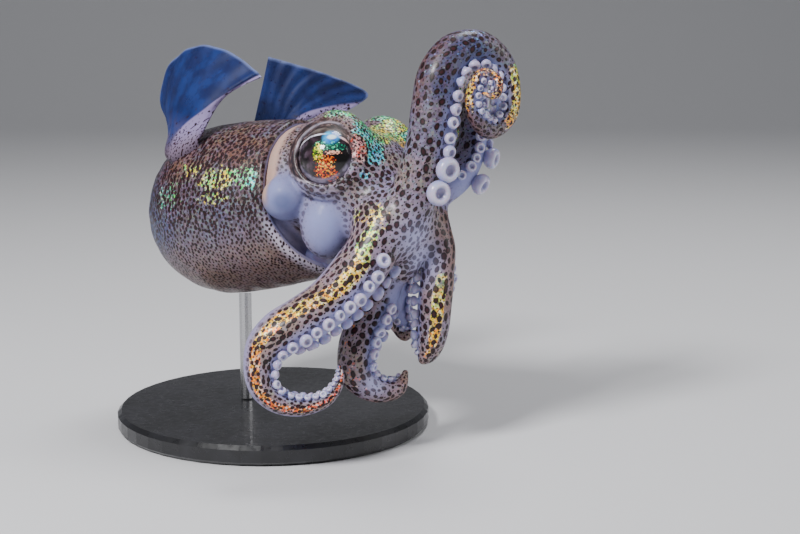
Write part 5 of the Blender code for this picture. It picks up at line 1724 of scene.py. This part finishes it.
def sucker_places(arm, rng):
    """Place, way and size of each cup in the two rows of an arm, with the enlarged ones."""
    shares = np.linspace(arm.bare, 0.995, 900)
    centre, radius, _, facing, across = arm.at(shares)
    size = np.minimum(SUCKER_LEAST + SUCKER_SHARE * radius, SUCKER_MOST * radius)
    found = []
    for side in (-1, 1):
        way = math.cos(SUCKER_ROW) * facing + side * math.sin(SUCKER_ROW) * across
        taken = []
        for share, row, scale in arm.large:
            if row == side:
                index = int(np.argmin(np.abs(shares - share)))
                taken.append((centre[index] + way[index] * (radius[index] + scale), scale))
                found.append((centre[index] + way[index] * radius[index],
                              unit(way[index] + CUP_LEAN * np.array(TOWARD)), scale))
        head = centre + way * (radius + 0.6 * size)[:, None]
        for index in range(0 if side < 0 else 12, len(shares)):
            need = 1.02 * size[index]
            if all(np.linalg.norm(head[index] - place) > need + other for place, other in taken):
                taken.append((head[index], size[index]))
                turned = unit(way[index] + CUP_SWAY * rng.normal(size=3))
                found.append((centre[index] + way[index] * radius[index], turned,
                              size[index] * rng.uniform(0.84, 1.06)))
    return found


def sucker_material():
    """Milky, slightly clear suckers with pale rings, darkened inside their cups as painted shade."""
    material, wires, surface = new_material("sucker flesh", Roughness=0.36, Coat_Weight=0.3,
                                            Coat_Roughness=0.15, Subsurface_Weight=0.25,
                                            Subsurface_Scale=0.001)
    body = wires.mix(wires.span(wires.noise(420.0, 2.0), 0.35, 0.65), "9d9fcb", "b2a9c8")
    body = wires.mix(wires.times(wires.attribute("ring"), 0.65), body, "dedcee")
    # The cup mask darkens each sucker towards the bottom of its hollow as painted shade
    wires.give(surface["Base Color"], wires.mix(wires.times(wires.attribute("cup"), 0.6), body, "8a84a8"))
    wires.raised(surface["Normal"], wires.noise(1500.0, 3.0), 0.3, 0.08 * MM)
    return material


class SQUID_OT_suckers(bpy.types.Operator):
    """Two rows of suckers along every arm, set by geometry nodes"""
    bl_idname = "squid.suckers"
    bl_label = "Suckers"

    def execute(self, context):
        material = sucker_material()
        # The third argument gives the pale ring; the fourth gives the painted shade that darkens each cup
        # deeper in its hollow
        cup = self.cup(CUP_PROFILE, CUP_SIDES, (0.0, 0.0, 0.5, 1.0, 0.0), (0.0, 0.0, 0.0, 0.3, 1.0))
        fine = self.cup(FINE_PROFILE, FINE_SIDES, (0.0,) * 6 + (0.3, 1.0, 0.6, 0.0, 0.0, 0.0),
                        (0.0,) * 8 + (0.2, 0.7, 1.0, 1.0))
        tree = sucker_tree()
        sockets = {item.name: item.identifier for item in tree.interface.items_tree
                   if item.in_out == "INPUT"}
        rng = np.random.default_rng(sizes().seed + 3)
        for row in ARMS:
            arm = Arm(**row)
            found = sucker_places(arm, rng)
            seats = bpy.data.meshes.new("seats")
            seats.from_pydata(to_world([place for place, _, _ in found]).tolist(), [], [])
            turn = np.array(PLACE.to_3x3())
            store(seats, "way", np.array([way for _, way, _ in found]) @ turn.T)
            store(seats, "size", [size * MM for _, _, size in found])
            holder = placed("seats", seats)
            nodes = holder.modifiers.new("rows", "NODES")
            nodes.node_group = tree
            nodes[sockets["Cup"]] = cup
            nodes[sockets["Fine cup"]] = fine
            nodes[sockets["Fine from"]] = FINE_CUP_FROM * MM
            nodes[sockets["Swell"]] = 1.0
            nodes[sockets["Material"]] = material
            mesh = evaluated_mesh(holder)
            bpy.data.objects.remove(holder, do_unlink=True)
            mesh.shade_smooth()
            finish_piece(placed(f"suckers_{arm.name}", mesh), material, "pale_skin")
        for spare in (cup, fine):
            bpy.data.objects.remove(spare, do_unlink=True)
        return {"FINISHED"}

    def cup(self, profile, sides, ring, dish):
        """One sucker of radius one: a stalk, a swollen wall, a ring and a dished cup, with painted shade in
        its hollow.
        """
        turns = np.arange(sides) * 2.0 * math.pi / sides
        rings = [np.stack([width * np.cos(turns), width * np.sin(turns), np.full(sides, height)], axis=1)
                 for height, width in profile]
        points, faces = pointed_loft(rings, (0.0, 0.0, profile[0][0]), (0.0, 0.0, profile[-1][0] - 0.04))
        mesh = bpy.data.meshes.new("cup")
        mesh.from_pydata(points.tolist(), [], faces)
        shape = bmesh.new()
        shape.from_mesh(mesh)
        bmesh.ops.recalc_face_normals(shape, faces=shape.faces)
        shape.to_mesh(mesh)
        shape.free()
        store(mesh, "ring", np.append(np.repeat(ring, sides), (0.0, 0.0)))
        # cup: painted shade, darker deeper in the hollow
        store(mesh, "cup", np.append(np.repeat(dish, sides), (0.0, 1.0)))
        return placed("cup", mesh)


class SQUID_OT_funnel(bpy.types.Operator):
    """The funnel under the head and the small ball of the mouth among the arms"""
    bl_idname = "squid.funnel"
    bl_label = "Funnel and mouth"

    def execute(self, context):
        rows, _ = smooth_line(FUNNEL_ROUTE, np.linspace(0.0, 1.0, 40))
        sides = 64
        turns = np.arange(sides) * 2.0 * math.pi / sides
        way = unit(FUNNEL_WAY)
        left = np.array([0.0, 1.0, 0.0])
        up = np.cross(way, left)
        around = FUNNEL_WIDER * np.cos(turns)[:, None] * left + np.sin(turns)[:, None] * up
        rings = [row[:3] + row[3] * around for row in rows]
        tip = rows[-1]
        for bend in np.linspace(0.3, math.pi, 8):
            rings.append(tip[:3] + 0.3 * math.sin(bend) * way
                         + tip[3] * (0.8 + 0.2 * math.cos(bend)) * around)
        for depth in np.linspace(0.4, 3.5, 8):
            rings.append(tip[:3] - depth * way + tip[3] * 0.6 * around)
        points = np.array(rings).reshape(-1, 3)
        thing = mesh_object("funnel_skin", points, loft_faces(len(rings), sides))
        material = bare_material()
        finish_piece(thing, material, "pale_skin", "funnel")
        mouth = ball("mouth_skin", MOUTH_AT, (MOUTH_RADIUS,) * 3, sides=64)
        points = from_world(mesh_points(mouth.data))
        off = points - np.array(MOUTH_AT)
        turn = np.arctan2(off[:, 1], off[:, 2])
        pucker = 1.0 - 0.06 * np.abs(np.sin(turn * 5.0))
        set_points(mouth.data, to_world(np.array(MOUTH_AT) + off * pucker[:, None]))
        finish_piece(mouth, material, "pale_skin", "mouth")
        return {"FINISHED"}


def bare_material():
    """Bare milky flesh without spots."""
    look = colours()
    material, wires, surface = new_material("bare flesh", Roughness=0.3, Coat_Weight=0.5, Coat_Roughness=0.12,
                                            Subsurface_Weight=0.2, Subsurface_Scale=0.001)
    ground = wires.mix(wires.span(wires.noise(300.0, 3.0), 0.35, 0.65), look.milk, look.lilac)
    wires.give(surface["Base Color"], ground)
    folds = place_group(wires, fold_group(), Scale=FOLD_SCALE)
    wires.raised(surface["Normal"], folds["Height"], 0.5, 0.1 * MM)
    return material


class SQUID_OT_stand(bpy.types.Operator):
    """Satin black base and brushed steel rod"""
    bl_idname = "squid.stand"
    bl_label = "Display stand"

    def execute(self, context):
        base, wires, surface = new_material("satin black", Roughness=0.3, Coat_Weight=0.2)
        shaded = wires.mix(wires.span(wires.noise(160.0, 3.0), 0.4, 0.6), colours().base, "1f1f23")
        wires.give(surface["Base Color"], shaded)
        wires.give(surface["Roughness"], wires.span(wires.noise(900.0, 4.0), 0.3, 0.7, 0.26, 0.38))
        steel, wires, surface = new_material("brushed steel", Metallic=1.0)
        lines = wires.add("ShaderNodeMapping", {"Vector": wires.here(), "Scale": (1.0, 1.0, 24.0)})
        grain = wires.noise(1400.0, 3.0, lines.outputs[0])
        wires.give(surface["Base Color"], wires.mix(grain, "9a9a9c", "d4d4d6"))
        wires.give(surface["Roughness"], wires.span(grain, 0.2, 0.8, 0.2, 0.38))
        for name, material in (("stand_base", base), ("stand_rod", steel)):
            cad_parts[name].data.materials.clear()
            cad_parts[name].data.materials.append(material)
        return {"FINISHED"}


class SQUID_OT_stage(bpy.types.Operator):
    """Pale floor, soft studio light and the camera"""
    bl_idname = "squid.stage"
    bl_label = "Stage"

    def execute(self, context):
        scene = bpy.context.scene
        camera = placed("camera", bpy.data.cameras.new("camera"))
        camera.location = (Vector(OPENING_AT) + Vector(CAMERA_FROM_OPENING)) * MM
        camera.rotation_euler = (CAMERA_PITCH, 0.0, 0.0)
        camera.data.lens = CAMERA_LENS
        camera.data.sensor_width = 36.0
        camera.data.clip_start = 0.005
        camera.data.dof.use_dof = False
        scene.camera = camera
        back, bend, wide = (BACKDROP[key] for key in ("back", "bend", "half_width"))
        profile = [(BACKDROP["front"], 0.0), (back, 0.0)]
        profile += [(back + bend * math.sin(turn), bend * (1.0 - math.cos(turn)))
                    for turn in np.linspace(0.05, 0.5 * math.pi, 24)]
        profile.append((back + bend, BACKDROP["height"]))
        corners = [(side * wide, y, z) for y, z in profile for side in (-1, 1)]
        sweep = bpy.data.meshes.new("backdrop")
        sweep.from_pydata(corners, [], [(at, at + 1, at + 3, at + 2) for at in range(0, len(corners) - 2, 2)])
        sweep.shade_smooth()
        floor = placed("backdrop", sweep)
        sweep.materials.append(new_material("pale floor", Base_Color=opaque("cfcfd2"), Roughness=0.7)[0])
        for name, place, size in LAMPS:
            lamp = bpy.data.lights.new(name, "AREA")
            lamp.size = size
            lamp.energy = getattr(stage(), name)
            holder = placed(name, lamp)
            holder.location = place
            aim = Vector(LAMPS_FACE) - Vector(place)
            holder.rotation_euler = aim.to_track_quat("-Z", "Y").to_euler()
        world = bpy.data.worlds.new("studio")
        world.use_nodes = True
        light = world.node_tree.nodes["Background"].inputs
        light["Color"].default_value = opaque(ROOM_TINT)
        light["Strength"].default_value = stage().room
        scene.world = world
        return {"FINISHED"}


class SQUID_PT_panel(bpy.types.Panel):
    bl_idname = "SQUID_PT_panel"
    bl_label = "Bobtail squid"
    bl_space_type = "VIEW_3D"
    bl_region_type = "UI"
    bl_category = "Squid"

    def draw(self, context):
        for group in (sizes(), colours(), stage()):
            for name in group.__annotations__:
                self.layout.prop(group, name)
        for operator in OPERATORS:
            self.layout.operator(operator.bl_idname)


OPERATORS = (SQUID_OT_mantle, SQUID_OT_skin, SQUID_OT_fins, SQUID_OT_eyes, SQUID_OT_suckers, SQUID_OT_funnel,
             SQUID_OT_stand, SQUID_OT_stage)
CLASSES = (SquidSizes, SquidColours, StageSettings, *OPERATORS, SQUID_PT_panel)


def register():
    for thing in CLASSES:
        bpy.utils.register_class(thing)
    bpy.types.Scene.squid_sizes = PointerProperty(type=SquidSizes)
    bpy.types.Scene.squid_colours = PointerProperty(type=SquidColours)
    bpy.types.Scene.squid_stage = PointerProperty(type=StageSettings)


def unregister():
    del bpy.types.Scene.squid_stage
    del bpy.types.Scene.squid_colours
    del bpy.types.Scene.squid_sizes
    for thing in reversed(CLASSES):
        bpy.utils.unregister_class(thing)


def main():
    register()
    bpy.ops.squid.mantle()
    bpy.ops.squid.skin()
    bpy.ops.squid.fins()
    bpy.ops.squid.eyes()
    bpy.ops.squid.suckers()
    bpy.ops.squid.funnel()
    bpy.ops.squid.stand()
    bpy.ops.squid.stage()


if __name__ == "__main__":
    main()
